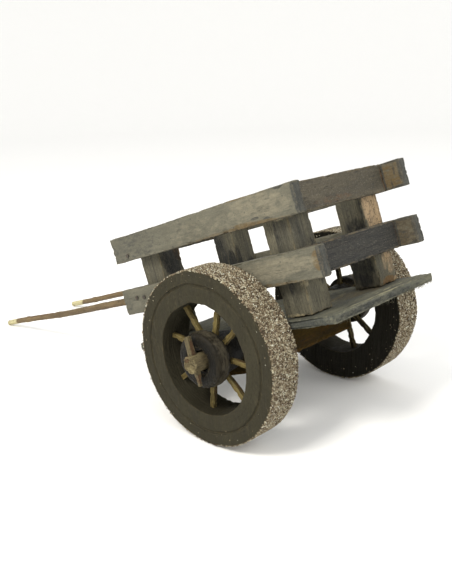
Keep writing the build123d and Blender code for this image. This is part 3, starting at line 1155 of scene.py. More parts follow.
class Finishes:
    """Every material of the cart, one for each of the record's slots."""

    def __init__(self, effects: Effects) -> None:
        """Mix the colours of each finish.

        Args:
            effects: The shared shader groups.
        """
        # The rails' dark colour: dirt, and also a painted shadow line where the tail
        # cross rail meets a rail's inner face.
        grime_and_shade = paint(58, 59, 56)
        self.rail = WoodFinish(
            "rail_wood_weathered", deep=paint(85, 83, 71), light=paint(108, 105, 91),
            bleached=paint(123, 117, 99), brown=paint(94, 78, 51), dark=grime_and_shade,
            edge=paint(108, 100, 79), end_grain=paint(57, 58, 56),
            speck=paint(135, 129, 115),
            edge_share=0.3, mottle_share=0.25, pit_share=0.35, speck_share=0.45,
            crack_share=0.5).material(effects)
        self.cross = WoodFinish(
            "cross_rail_wood_sooty", deep=paint(57, 54, 45), light=paint(86, 80, 67),
            bleached=paint(125, 113, 90), brown=paint(85, 65, 47),
            dark=paint(36, 37, 37), edge=paint(101, 89, 67),
            end_grain=paint(54, 51, 42), speck=paint(125, 118, 104),
            speck_share=0.85, pit_share=0.7, mottle_share=0.4).material(effects)
        post = WoodFinish(
            "post_wood_split", deep=paint(54, 53, 46), light=paint(110, 105, 87),
            bleached=paint(152, 141, 112), brown=paint(101, 77, 46),
            dark=paint(33, 34, 34), edge=paint(118, 105, 77),
            end_grain=paint(78, 70, 54), speck=paint(134, 127, 106),
            split_share=0.9, edge_share=0.5)
        self.post = post.material(effects)
        self.bare_post = replace(post, name="post_wood_bare",
                                 bleached=paint(174, 149, 115)).material(effects)
        self.floor = WoodFinish(
            "floor_wood_scuffed", deep=paint(60, 62, 58), light=paint(106, 104, 86),
            bleached=paint(148, 143, 114), brown=paint(98, 79, 48),
            dark=paint(33, 35, 34), edge=paint(116, 114, 96),
            end_grain=paint(61, 64, 62), speck=paint(145, 143, 120),
            speck_share=0.45).material(effects)
        self.beam = WoodFinish(
            "beam_wood_oiled", deep=paint(36, 26, 6), light=paint(60, 47, 16),
            bleached=paint(93, 72, 30), brown=paint(74, 48, 12), dark=paint(19, 13, 4),
            edge=paint(71, 51, 18), end_grain=paint(40, 31, 10),
            speck=paint(80, 61, 26),
            speck_share=0.15, specular=0.08).material(effects)
        self.axle = WoodFinish(
            "axle_wood_whittled", deep=paint(67, 58, 41), light=paint(112, 102, 73),
            bleached=paint(134, 123, 90), brown=paint(77, 55, 37),
            dark=paint(33, 27, 19), edge=paint(124, 113, 82),
            end_grain=paint(96, 86, 61), speck=paint(131, 123, 94),
            speck_share=0.3).material(effects)
        self.stick = WoodFinish(
            "shaft_stick_bark", deep=paint(79, 65, 45), light=paint(132, 113, 82),
            bleached=paint(199, 191, 148), brown=paint(89, 63, 39),
            dark=paint(44, 36, 27), edge=paint(158, 142, 105),
            end_grain=paint(139, 125, 94), speck=paint(156, 142, 109),
            speck_share=0.2).material(effects)
        self.rim = WoodFinish(
            "rim_wood_smoked", deep=paint(45, 42, 32), light=paint(57, 54, 42),
            # On the rims the dark colour also paints shade on the back face and inside
            # the hole.
            bleached=paint(80, 73, 55), brown=paint(56, 44, 26), dark=paint(18, 17, 13),
            edge=paint(66, 60, 44), end_grain=paint(39, 36, 26),
            speck=paint(77, 72, 55),
            speck_share=0.3, pit_share=0.35, crack_share=0.12,
            mottle_share=0.35, specular=0.1, bump=0.22).material(effects)
        self.hub = WoodFinish(
            "hub_wood_blackened", deep=paint(21, 18, 10), light=paint(37, 32, 21),
            # On the hub the pale colour paints a highlight round the shoulder, and the
            # dark colour paints shade on the back half and in the bore.
            bleached=paint(82, 76, 63), brown=paint(43, 32, 18), dark=paint(11, 10, 7),
            edge=paint(75, 67, 51), end_grain=paint(25, 22, 13),
            speck=paint(63, 57, 44),
            speck_share=0.25, pit_share=0.35, crack_share=0.6, rough_low=0.42,
            rough_high=0.6, specular=0.15).material(effects)
        self.spoke = WoodFinish(
            "spoke_wood_split", deep=paint(70, 56, 27), light=paint(127, 113, 67),
            bleached=paint(141, 134, 89), brown=paint(66, 45, 23),
            dark=paint(31, 25, 13), edge=paint(132, 121, 78),
            end_grain=paint(81, 68, 40), speck=paint(135, 129, 86),
            speck_share=0.2, bump=0.9).material(effects)
        self.peg = WoodFinish(
            "peg_wood", deep=paint(64, 60, 50), light=paint(98, 93, 77),
            bleached=paint(110, 106, 86), brown=paint(75, 60, 40),
            dark=paint(34, 31, 26), edge=paint(102, 93, 70),
            end_grain=paint(65, 60, 50), speck=paint(112, 106, 86),
            own_marks=False).material(effects)
        self.nail = IronFinish("nail_iron_rusted", paint(66, 64, 60), paint(62, 55, 46),
                               paint(88, 72, 54)).material()
        self.sand = SandFinish("tread_sand_grains", tones=(
            (0.0, paint(40, 34, 27)), (0.22, paint(80, 66, 50)),
            (0.5, paint(131, 117, 93)), (0.74, paint(163, 155, 129)),
            (0.9, paint(188, 185, 166)), (1.0, paint(208, 209, 194)))).material()


# --------------------------------------------------------------- the cart


@dataclass
class Bed:
    """The cart's box: floor, four posts, four side rails and four cross rails."""

    cart: CartFrame
    finishes: Finishes
    rail_corner: float = 0.9 * MM
    post_corner: float = 1.0 * MM
    floor_corner: float = 0.7 * MM
    fibre_count: int = 900
    fibre_rows: int = 5
    fibre_length: float = 2.1 * MM
    fibre_radius: float = 0.09 * MM
    fibre_tip: float = 0.08
    tuft_count: int = 26
    tufted: float = 0.6
    tuft_spread: float = 0.018
    tail_clearance: float = 0.2 * MM
    FIBRE_SIDES: ClassVar[int] = 3
    TUFT_REACH: ClassVar = (-0.95, 0.98)
    ROOT_REACH: ClassVar = (-0.97, 0.99)
    ROOT_LIMIT: ClassVar[float] = 0.985
    THIN_END: ClassVar[float] = 0.45
    THIN_SPAN: ClassVar = (-0.5, 0.5)
    LENGTH_LAW: ClassVar = (2.2, 0.36)
    LONGEST: ClassVar[float] = 2.0
    INSET: ClassVar = (0.1, 1.2)
    RISE: ClassVar = (0.3, 1.6)
    SIDE_AIM: ClassVar[float] = 0.45
    TAIL_AIM: ClassVar = (-0.5, 0.2)
    CURL: ClassVar[float] = 0.3
    THICKNESS: ClassVar = (0.6, 1.5)

    def build(self) -> None:
        """Build every piece of the bed."""
        self.side_rails()
        self.cross_rails()
        self.posts()
        self.floor()
        self.fraying()

    def side_rails(self) -> None:
        """Four rails along the bed; the tail end is +1 and the outside is -1 or +1."""
        for side in Side:
            out = float(side.value)
            ends = (dark_patch((1.0, out, 0.0), (3.0, 4.2, 16), 0.9),
                    dark_patch((-1.0, out, 0.0), (12, 9, 14), 0.4),
                    brown_patch((0.4, out, -1.0), (56, 6, 3.4), 0.55))
            inside = (
                brown_patch((0.92, -out, 0.0), (15, 4, 13), 0.62),
                brown_patch((0.88, -out, -0.4), (7, 4, 6), 0.8),
                dark_patch((1.0, -out, 0.2), (3.4, 5, 13), 0.75),
                dark_patch((0.93, -out, 1.0), (12, 3, 2.4), 0.75),
                dark_patch((0.97, -out, -0.95), (7, 3, 2.2), 0.75),
                # Painted shadow: a thin dark line where the tail cross rail meets the
                # inner face.
                dark_patch((0.845, -out, 0.0), (1.1, 3, 14), 0.85),
                dark_patch((0.90, -out, -0.6), (0.9, 3, 5), 0.55),
                dark_patch((0.94, -out, 0.4), (1.4, 3, 6), 0.5))
            upper = ends + inside + (
                dark_patch((0.62, out, -0.55), (6, 2, 0.6), 0.9),
                dark_patch((0.72, out, -0.72), (4, 2, 0.7), 0.9),
                brown_patch((0.5, out, -0.66), (9, 2, 0.6), 0.9),
                bleached_patch((0.66, out, 0.1), (34, 4, 11), 0.55),
                bleached_patch((0.1, out, -0.2), (50, 4, 9), 0.4),
                brown_patch((0.55, out, -0.85), (26, 3, 1.6), 0.8),
                brown_patch((0.5, out, 0.95), (12, 3, 0.9), 0.6),
                dark_patch((-0.75, out, 0.0), (44, 4, 14), 0.42),
                dark_patch((0.87, out, 0.95), (5, 4, 2.0), 0.9))
            knocks = (Dent((0.87, out, 1.0), 4.0 * MM, 1.1 * MM),
                      Dent((0.66, out, 1.0), 3.2 * MM, 0.7 * MM),
                      Dent((0.05, out, 1.0), 7.0 * MM, 0.6 * MM),
                      Dent((-0.78, out, 1.0), 5.0 * MM, 0.8 * MM),
                      Dent((0.3, out, -1.0), 5.0 * MM, 0.6 * MM))
            lower = ends + inside + (
                dark_patch((0.94, -out, 0.0), (14, 3, 14), 0.5),
                bleached_patch((0.55, out, 0.1), (52, 4, 8.0), 0.6),
                brown_patch((0.97, out, 0.1), (4.4, 4, 7), 1.0))
            scuffs = (Dent((0.7, out, -1.0), 4.0 * MM, 0.7 * MM),
                      Dent((-0.4, out, 1.0), 6.0 * MM, 0.6 * MM))
            for level, patches, dents, seed in (("upper", upper, knocks, 11),
                                                ("lower", lower, scuffs, 13)):
                node = f"{level}_rail_{side.word}"
                Board(node, "rail_wood", self.finishes.rail,
                      self.cart.lay(node, Grain.ALONG_BED),
                      seed=seed * 10 + side.value, corner=self.rail_corner,
                      patches=patches, dents=dents).build()

    def cross_rails(self) -> None:
        """Four rails across the bed, at its front and tail; the left end is +1."""
        for end, out in (("front", -1.0), ("tail", 1.0)):
            for level, seed in (("upper", 31), ("lower", 37)):
                low = level == "lower"
                patches = (
                    brown_patch((1.0, out, 0.0), (3.2, 6, 12), 0.8),
                    brown_patch((-0.2, out, -0.6), (26, 4, 3), 0.0 if low else 0.45),
                    dark_patch((-1.0, out, -0.2), (9, 6, 13), 0.6),
                    dark_patch((0.0, out, 0.0), (70, 8, 18), 0.85 if low else 0.2),
                    bleached_patch((-0.92, out, -0.9), (5, 4, 3), 0.55 if low else 0.2))
                dents = (Dent((-0.2, out, 1.0), 5 * MM, 0.7 * MM),
                         Dent((0.5, out, -1.0), 4 * MM, 0.6 * MM))
                node = f"{level}_rail_{end}"
                Board(node, "cross_rail_wood", self.finishes.cross,
                      self.cart.lay(node, Grain.ACROSS_BED), seed=seed + int(out),
                      corner=self.rail_corner, patches=patches, dents=dents).build()

    def posts(self) -> None:
        """Four corner posts; up is the grain, then the tail, then the left."""
        bare = (bleached_patch((0.36, 1.0, 0.12), (21, 5, 12.0), 1.0),
                bleached_patch((-0.62, 1.0, 0.45), (11, 6, 9), 0.5),
                brown_patch((-0.95, 1.0, 0.0), (4, 6, 9), 0.9),
                bleached_patch((-0.97, 1.0, 0.9), (3, 6, 4), 0.9),
                # Painted shade: the two dark patches on the inner face, which lies in
                # the shade of the near side.
                dark_patch((-0.62, -0.1, -1.0), (17, 12, 3), 0.62),
                dark_patch((0.08, 0.2, -1.0), (8, 10, 3), 0.6))
        worn = (bleached_patch((0.62, 0.35, -1.0), (4.2, 7, 3), 1.0),
                bleached_patch((0.62, 1.0, -0.6), (4.2, 3, 4), 0.8),
                bleached_patch((-0.5, 1.0, -0.9), (3, 5, 4), 0.5),
                bleached_patch((-0.97, -0.4, -1.0), (1.8, 12, 4), 0.7),
                # Painted shadow: a thin dark band under the upper rail.
                dark_patch((0.78, -0.1, -1.0), (2, 14, 3), 0.9),
                dark_patch((0.3, -0.1, -1.0), (14, 1.6, 3), 0.6),
                dark_patch((-0.4, 0.0, -1.0), (12, 3, 3), 0.55),
                dark_patch((-0.2, 1.0, 0.5), (20, 3, 6), 0.5))
        # Painted shade on the far front post's inner and tail faces, round the middle
        # of its height.
        front_left_shade = (dark_patch((-0.15, 0.5, -1.0), (20, 6, 8), 0.8),
                 dark_patch((0.1, -0.6, -1.0), (26, 8, 8), 0.75),
                 dark_patch((-0.1, 1.0, -0.8), (20, 3, 6), 0.75),
                 dark_patch((-0.25, 1.0, 0.3), (12, 3, 9), 0.7))
        # Painted shade: the first dark patch darkens the tail face, which stands in
        # shadow.
        plain = (dark_patch((0.5, 1.0, 0.0), (24, 3, 12), 0.7),
                 dark_patch((0.67, 0.0, -1.0), (4, 12, 3), 0.7),
                 brown_patch((0.5, 1.0, 0.7), (8, 3, 5), 0.8))
        split, stripped = self.finishes.post, self.finishes.bare_post
        for node, finish, patches, seed in (
                ("post_tail_left", stripped, bare, 51),
                ("post_tail_right", split, worn, 53),
                ("post_front_left", split, front_left_shade, 57),
                ("post_front_right", split, plain, 59)):
            Board(node, "post_wood", finish,
                  self.cart.lay(node, Grain.UPRIGHT), seed=seed,
                  corner=self.post_corner, wander=0.5 * MM, fibre_depth=0.2 * MM,
                  patches=patches).build()

    def floor(self) -> None:
        """The floor board; the left is +1, then the tail, then up."""
        patches = (
            bleached_patch((0.0, 0.965, 1.0), (60, 1.3, 3), 0.7),
            bleached_patch((0.35, 0.9, 1.0), (26, 2.4, 3), 0.5),
            dark_patch((-0.2, 1.0, -0.3), (66, 1.8, 3.4), 0.62),
            bleached_patch((0.0, 0.0, 1.0), (70, 95, 1.5), 0.3),
            brown_patch((0.3, 0.6, 1.0), (30, 24, 3), 0.45),
            # Painted shadow from the wheel's rim on the floor's right edge.
            dark_patch((-1.0, 0.0, -0.4), (5, 62, 5), 0.9),
            dark_patch((0.0, 0.0, -1.0), (60, 70, 3), 0.55))
        dents = tuple(Dent((share, 1.0, 1.0), radius * MM, depth * MM)
                      for share, radius, depth in ((-0.3, 6, 0.4), (0.15, 4, 0.5),
                                                   (0.55, 7, 0.4), (0.9, 5, 0.6)))
        node = "floor_board"
        Board(node, "floor_wood", self.finishes.floor,
              self.cart.lay(node, Grain.ACROSS_BED), seed=71, spacing=0.85 * MM,
              corner=self.floor_corner, wander=0.25 * MM, edge_loss=0.45 * MM,
              fibre_depth=0.22 * MM, patches=patches, dents=dents).build()

    def fraying(self) -> None:
        """Loose fibres that hang from the floor's tail edge.

        Each fibre is a thin three-sided spike: its centre line leaves the edge
        downwards and curls by the square of the share along it, and its radius
        falls in a straight line to a point.
        """
        lay = self.cart.lay("floor_board", Grain.ACROSS_BED)
        draw = np.random.default_rng(73)
        count, rows = self.fibre_count, self.fibre_rows
        share = np.linspace(0.0, 1.0, rows)[None, :, None]
        tufts = draw.uniform(*self.TUFT_REACH, self.tuft_count)
        root = np.where(draw.uniform(size=count) < self.tufted,
                        tufts[draw.integers(0, len(tufts), count)]
                        + draw.normal(0.0, self.tuft_spread, count),
                        draw.uniform(*self.ROOT_REACH, count))
        root = np.clip(root, -self.ROOT_LIMIT, self.ROOT_LIMIT)
        richer = self.THIN_END + (1 - self.THIN_END) * smooth_step(
            root, *self.THIN_SPAN)
        length = self.fibre_length * np.minimum(
            draw.gamma(*self.LENGTH_LAW, count), self.LONGEST) * richer
        start = np.stack((root * lay.half[0],
                          lay.half[1] - draw.uniform(*self.INSET, count) * MM,
                          -lay.half[2] + draw.uniform(*self.RISE, count) * MM), axis=-1)
        aim = np.stack((draw.normal(0.0, self.SIDE_AIM, count),
                        draw.uniform(*self.TAIL_AIM, count), -np.ones(count)), axis=-1)
        aim /= np.linalg.norm(aim, axis=1, keepdims=True)
        curl = draw.normal(0.0, self.CURL, (count, 3))
        line = start[:, None] + length[:, None, None] * (
            share * aim[:, None] + share**2 * curl[:, None])
        line[..., 1] = np.minimum(line[..., 1], lay.half[1] - self.tail_clearance)
        sides = self.FIBRE_SIDES
        corner = np.arange(sides)
        turn = corner * FULL_TURN / sides
        ring = np.stack((np.cos(turn), np.sin(turn), 0 * turn), axis=-1)
        thick = self.fibre_radius * draw.uniform(*self.THICKNESS, count)
        taper = (1.0 - (1.0 - self.fibre_tip) * share)[..., None]
        points = line[:, :, None] + thick[:, None, None, None] * taper * ring
        grid = points.reshape(-1, 3)
        row = np.arange(rows - 1)[:, None] * sides
        step, right = row + corner[None], row + np.roll(corner, -1)[None]
        faces = np.stack((step, right, right + sides, step + sides),
                         axis=-1).reshape(-1, 4)
        caps = np.array([[0, 2, 1], (rows - 1) * sides + corner])
        base = (np.arange(count) * rows * sides)[:, None, None]
        quads = (faces[None] + base).reshape(-1, 4)[:, ::-1]
        ends = (caps[None] + base).reshape(-1, 3)[:, ::-1]
        marks = {"place": grid, "stain": np.zeros(grid.shape),
                 "wear": np.ones(len(grid)), "end": np.zeros(len(grid))}
        piece = make_mesh("floor_frayed_fibres", lay.world(grid),
                          np.concatenate((quads.ravel(), ends.ravel())),
                          np.concatenate((np.full(len(quads), 4),
                                          np.full(len(ends), 3))), marks, smooth=True)
        settle(piece, CART_BODY, "floor_wood", self.finishes.floor)


@dataclass
class Undercarriage:
    """The beam under the floor, the axle in it, and the pins at the axle's ends."""

    cart: CartFrame
    finishes: Finishes

    def build(self) -> None:
        """Build the beam, the axle and both linchpins."""
        node = "axle_beam"
        Board(node, "beam_wood", self.finishes.beam,
              self.cart.lay(node, Grain.ACROSS_BED), seed=81, corner=2.2 * MM,
              wander=0.4 * MM, patches=(
                  brown_patch((0.2, 1.0, -0.4), (34, 6, 6), 0.3),
              )).build()
        self.axle()
        for side in Side:
            self.linchpin(side)

    def axle(self) -> None:
        """The axle: a round stick whose ends are rough and split."""
        lay = measured("axle", np.array([[0, 1, 0], [1, 0, 0], [0, 0, 1.0]]),
                       self.cart.axle)
        centre = self.cart.axle
        reach = np.array((0.0, lay.half[0], 0.0))
        radius = float(lay.half[1])
        tips = (-1.0, 1.0)
        ends = tuple(bleached_patch((share, 0.2, 0.5), (4, 5, 4), 0.6)
                     for share in tips)
        cracks = tuple(brown_patch((share, -0.5, -0.5), (6, 3, 3), 0.7)
                       for share in tips)
        Stick("axle", "axle_wood", self.finishes.axle, centre - reach, centre + reach,
              radius, radius, seed=83, around=48, whittled=0.1, bark_depth=0.6 * MM,
              corner=1.1 * MM, patches=ends + cracks).build()

    def linchpin(self, side: Side) -> None:
        """A flat whittled pin through the axle's end, pointed below.

        Args:
            side: Which end of the axle.
        """
        node = f"linchpin_{side.word}"
        Board(node, "axle_wood", self.finishes.axle, self.cart.lay(node, Grain.UPRIGHT),
              seed=87 + side.value, corner=0.55 * MM, spacing=0.4 * MM,
              fibre_depth=0.25 * MM, wander=0.35 * MM, low_taper=0.5, taper_share=0.35,
              patches=(brown_patch((0.4, 1.0, 0.3), (9, 1.6, 3), 0.9),
                       brown_patch((-0.7, 0.6, 0.0), (4, 2, 3), 0.8))).build()


@dataclass
class Shafts:
    """Two thin sticks that the cart is pulled by."""

    cart: CartFrame
    finishes: Finishes
    root_radius: float = 2.8 * MM
    tip_radius: float = 2.4 * MM

    def build(self) -> None:
        """Build both shafts, each along the line through its node's two ends."""
        for side in Side:
            node = f"shaft_{side.word}"
            corners = (corners_of(node) - self.cart.axle) @ self.cart.rows.T
            reach = corners[:, 0]
            slack = 0.4 * MM
            root = corners[reach > reach.max() - slack]
            root = (root.min(axis=0) + root.max(axis=0)) / 2
            tip = corners[reach < reach.min() + slack]
            tip = (tip.min(axis=0) + tip.max(axis=0)) / 2
            tip[0] = reach.min()
            ends = self.cart.axle + np.stack((root, tip)) @ self.cart.rows
            peeled = (
                bleached_patch((0.9, 0.0, 0.0), (11, 6, 6), 0.9),
                bleached_patch((0.99, 0.0, 0.0), (4, 6, 6), 0.7),
                brown_patch((-0.4, 0.0, 0.8), (50, 3, 2), 0.6),
                brown_patch((0.5, 0.0, -0.8), (40, 3, 2), 0.6))
            Stick(node, "shaft_stick", self.finishes.stick, ends[0], ends[1],
                  self.root_radius, self.tip_radius, seed=91 + side.value, around=28,
                  corner=1.6 * MM, bend=side.value * 1.2 * MM, knots=(0.33, 0.62, 0.84),
                  whittled=0.1, patches=peeled).build()


@dataclass
class Turning:
    """A turned ring of wood: an outline in radius and width, carried round the axle.

    The surface loses fine tool ridges that depend on the outline alone, chatter
    and pores that vary all over, and a little out of roundness.
    """

    outline: np.ndarray
    steps: int
    seed: int
    ridges: float
    chatter: float
    chips: float = 0.0
    lost: Callable[[np.ndarray], np.ndarray] | None = None
    TOOL: ClassVar = ((1.3 * MM, 1.3 * MM, 1.0), 14)
    PORES: ClassVar = ((2.4 * MM, 2.4 * MM, 14 * MM), 22)
    NIBBLES: ClassVar = ((6 * MM,) * 3, 20)
    NIBBLED: ClassVar = (0.5, 1.0)
    WORN_BEND: ClassVar[float] = 1.2

    def surface(self) -> tuple[np.ndarray, dict[str, np.ndarray]]:
        """Work out the grid of points and its marks.

        Returns:
            The points, and the marks place, stain, wear and end.
        """
        out = outward(self.outline)
        turn = np.linspace(0.0, FULL_TURN, self.steps, endpoint=False)
        swing = np.stack((np.sin(turn), 0 * turn, np.cos(turn)), axis=-1)
        wide = np.array((0.0, 1.0, 0.0))
        points = (self.outline[None, :, :1] * swing[:, None]
                  + self.outline[None, :, 1:] * wide)
        normals = out[None, :, :1] * swing[:, None] + out[None, :, 1:] * wide
        bend = np.linalg.norm(
            np.roll(out, -2, axis=0) - np.roll(out, 2, axis=0), axis=1)
        wear = np.repeat(np.clip(bend * self.WORN_BEND, 0.0, 1.0)[None], self.steps,
                         axis=0)
        flat = np.concatenate((self.outline, 0 * self.outline[:, :1]), axis=1)
        tool = Ripple(self.seed, *self.TOOL)(flat)
        pores = Ripple(self.seed + 1, *self.PORES)(points)
        nibble = Ripple(self.seed + 2, *self.NIBBLES)(points)
        loss = self.ridges * tool[None] + self.chatter * pores
        loss = loss + self.chips * wear * smooth_step(nibble, *self.NIBBLED)
        points = points - normals * loss[..., None]
        if self.lost is not None:
            points = points - self.lost(turn)[:, None, None] * swing[:, None]
        draw = np.random.default_rng(self.seed)
        upright = points[..., [2, 0, 1]]
        marks = {"place": upright + draw.uniform(-1, 1, 3),
                 "stain": np.zeros(points.shape), "wear": wear,
                 "end": np.abs(normals[..., 2]) ** 3}
        return points, marks


@dataclass
class Wheel:
    """A wheel: a turned rim under a coat of sand, a hub, and eight split spokes."""

    side: Side
    cart: CartFrame
    finishes: Finishes
    groove_radius: float = 46.8 * MM
    groove_depth: float = 1.1 * MM
    groove_width: float = 1.0 * MM
    lip: float = 1.2 * MM
    lip_drop: float = 0.6 * MM
    unevenness: float = 0.55 * MM
    spoke_count: int = 8
    grain_step: float = 0.78 * MM
    grain_size: float = 0.55 * MM
    hub_outline: tuple[tuple[float, float], ...] = (
        (0.0, 12.5), (15.5, 13.8), (17.0, 17.0), (19.0, 17.75), (24.0, 17.75),
        (26.6, 17.1), (27.6, 15.9), (28.0, 15.3), (27.9, 15.0), (28.3, 14.8),
        (28.45, 9.0), (26.0, 8.5))
    hub_bore: float = 6.1 * MM
    rim_steps: int = 320
    hub_steps: int = 150
    tread_steps: int = 420
    line_width: float = 0.55 * MM
    second_line: float = 5.2 * MM
    second_width: float = 0.5 * MM
    bed_drop: float = 0.7 * MM
    bed_overlap: float = 0.5 * MM
    jitter: float = 0.2 * MM
    bare_spots: int = 16
    edge_share: float = 0.35
    stray_count: int = 170
    stray_size: float = 0.36 * MM
    stray_sink: float = 0.15 * MM
    stray_inner: float = 0.75
    stray_start: float = 0.3 * MM
    STRAY_SIZE: ClassVar = (0.5, 1.3)
    STRAY_REACH: ClassVar = (1.1, 2.6)
    GRAIN_LAW: ClassVar = (14.0, 1 / 14.0)
    GRAIN_SINK: ClassVar = (0.55, 1.25)
    BARE_SIZE: ClassVar = (0.5, 1.4)
    EDGE_SIZE: ClassVar = (0.45, 0.85)
    EDGE_SINK: ClassVar = (1.2, 0.3)
    CORNER_REACH: ClassVar = (0.78, 1.22)
    STRETCH: ClassVar = (0.7, 1.25)
    TINT_LAW: ClassVar = (1.5, 1.7)
    OUT_OF_ROUND: ClassVar = ((0.9, 0.9, 1.0), 12)
    BED_TINT: ClassVar = (0.12, 0.35)
    BED_SPECKLE: ClassVar = ((0.9 * MM,) * 3, 30)
    RIM_WORN: ClassVar = ((26 * MM,) * 3, 10)
    RIM_WORN_SPAN: ClassVar = (0.5, 0.85)
    RIM_WORN_TINT: ClassVar[float] = 0.24
    LINE_TINT: ClassVar[float] = 0.95
    SECOND_TINT: ClassVar[float] = 0.35
    # Painted shade on the rim's back face and inside its hole.
    BACK_TINT: ClassVar[float] = 0.9
    HOLE_TINT: ClassVar[float] = 0.12
    HUB_FACE_TINT: ClassVar[float] = 0.72
    # A painted highlight round the hub's shoulder.
    COLLAR_TINT: ClassVar[float] = 0.6

    def __post_init__(self) -> None:
        """Find the wheel's body and how its width runs."""
        self.body = f"wheel_{self.side.word}"
        self.sign = float(self.side.value)
        self.seed = 200 + 40 * self.side.value

    def rings(self, node: str) -> tuple[float, float, float, float]:
        """Smallest and largest radius of a node, and its inner and outer faces.

        Args:
            node: A node that goes round the axle.

        Returns:
            Two radii and two distances from the cart's middle, in metres.
        """
        away = corners_of(node) - self.cart.axle
        radius = np.hypot(away[:, 0], away[:, 2])
        wide = np.abs(away[:, 1])
        return (float(radius.min()), float(radius.max()), float(wide.min()),
                float(wide.max()))

    def lost(self, turn: np.ndarray) -> np.ndarray:
        """How far the rim falls short of a circle at each angle.

        The noise is read round a circle, so that it closes.

        Args:
            turn: Angles round the axle.

        Returns:
            The shortfall in metres.
        """
        circle = np.stack((np.sin(turn), np.cos(turn), 0 * turn), axis=-1)
        return self.unevenness * Ripple(self.seed + 3, *self.OUT_OF_ROUND)(circle)

    def build(self) -> None:
        """Build the rim, its sand, the hub and the spokes."""
        self.rim()
        self.tread()
        self.hub()
        for number in range(1, self.spoke_count + 1):
            self.spoke(number)

    def placed(self, points: np.ndarray) -> np.ndarray:
        """Turn points with a positive width into places on this side of the cart."""
        return points * np.array((1.0, self.sign, 1.0)) + self.cart.axle

    def rim(self) -> None:
        """The rim: a ring with a thin groove round its outer face, with painted shade
        on its back face and inside its hole.
        """
        hole, outer, inner_face, outer_face = self.rings(f"wheel_rim_{self.side.word}")
        crest = self.rings(f"tread_{self.side.word}")[1] - self.lip_drop
        outline = even_outline(np.array([
            (hole, inner_face), (crest, inner_face), (crest, inner_face + self.lip),
            (outer, inner_face + self.lip), (outer, outer_face - self.lip),
            (crest, outer_face - self.lip), (crest, outer_face),
            (hole, outer_face)]), 260, 3)
        on_face = smooth_step(outline[:, 1], outer_face - 0.4 * MM,
                              outer_face - 0.1 * MM)
        away = (outline[:, 0] - self.groove_radius) / self.groove_width
        outline[:, 1] -= self.groove_depth * on_face * np.exp(-2.5 * away**2)
        ring = Turning(outline, self.rim_steps, self.seed, ridges=0.12 * MM,
                       chatter=0.2 * MM, chips=0.25 * MM, lost=self.lost)
        points, marks = ring.surface()
        radius = np.hypot(points[..., 0], points[..., 2])
        face = smooth_step(points[..., 1], outer_face - 1.0 * MM,
                           outer_face - 0.5 * MM)
        line = np.exp(-((radius - self.groove_radius) / self.line_width)**2)
        second = np.exp(-((radius - (hole + self.second_line))
                          / self.second_width)**2)
        # Dark lines on the outer face, and painted shade over the back face towards the
        # bed.
        marks["stain"][..., 2] = np.maximum(
            face * np.maximum(self.LINE_TINT * line, self.SECOND_TINT * second),
            self.BACK_TINT * (1 - smooth_step(points[..., 1], inner_face + 0.3 * MM,
                                   inner_face + 1.2 * MM)))
        # Painted shade inside the hole.
        inside = 1 - smooth_step(radius, hole + 0.3 * MM, hole + 1.0 * MM)
        marks["stain"][..., 2] = np.maximum(marks["stain"][..., 2],
                                            self.HOLE_TINT * inside)
        worn = Ripple(self.seed + 7, *self.RIM_WORN)(points)
        marks["stain"][..., 0] = self.RIM_WORN_TINT * face * smooth_step(
            worn, *self.RIM_WORN_SPAN)
        piece = skin(f"wheel_rim_{self.side.word}_wood", self.placed(points), marks,
                     ring=True)
        settle(piece, self.body, "rim_wood", self.finishes.rim,
               f"wheel_rim_{self.side.word}")

    def hub(self) -> None:
        """The hub: a drum with a round shoulder, a flat face and a worn bore, with
        painted shade on its back half and in its bore and a painted highlight round its
        shoulder.
        """
        node = f"hub_{self.side.word}"
        _, _, back, front = self.rings(node)
        given = np.array(self.hub_outline) * MM
        stretch = (front - back) / given[:, 0].max()
        corners = np.stack((given[:, 1], back + given[:, 0] * stretch), axis=-1)
        bore = np.array([(self.hub_bore, corners[-1, 1]), (self.hub_bore, back)])
        outline = even_outline(np.concatenate((corners, bore)), 170, 2)
        ring = Turning(outline, self.hub_steps, self.seed + 11, ridges=0.16 * MM,
                       chatter=0.22 * MM, chips=0.6 * MM)
        points, marks = ring.surface()
        radius = np.hypot(points[..., 0], points[..., 2])
        # Painted shade in the bore.
        bore_shade = 1 - smooth_step(radius, 8.0 * MM, 9.2 * MM)
        on_face = smooth_step(points[..., 1], front - 1.2 * MM, front - 0.4 * MM)
        # Painted shade over the back half, towards the bed.
        shaded = 1 - smooth_step(points[..., 1], back + 6 * MM, back + 17 * MM)
        marks["stain"][..., 2] = np.maximum(
            np.maximum(bore_shade, self.HUB_FACE_TINT * on_face), shaded)
        # A painted highlight, paler, round the shoulder.
        shoulder_highlight = smooth_step(radius, 16.6 * MM, 17.6 * MM)
        marks["stain"][..., 0] = self.COLLAR_TINT * shoulder_highlight
        marks["end"] = np.zeros(marks["wear"].shape)
        piece = skin(f"{node}_wood", self.placed(points), marks, ring=True)
        settle(piece, self.body, "hub_wood", self.finishes.hub, node)

    def spoke(self, number: int) -> None:
        """A square split stick that points from the hub to the rim.

        Args:
            number: Which spoke.
        """
        node = f"spoke_{self.side.word}_{number}"
        middle = corners_of(node).mean(axis=0) - self.cart.axle
        middle[1] = 0.0
        out = middle / np.linalg.norm(middle)
        wide = np.array((0.0, 1.0, 0.0))
        lay = measured(node, np.stack((out, wide, np.cross(out, wide))), self.cart.axle)
        dark_side = brown_patch((0.0, -self.sign, 0.6), (12, 3, 2), 0.8)
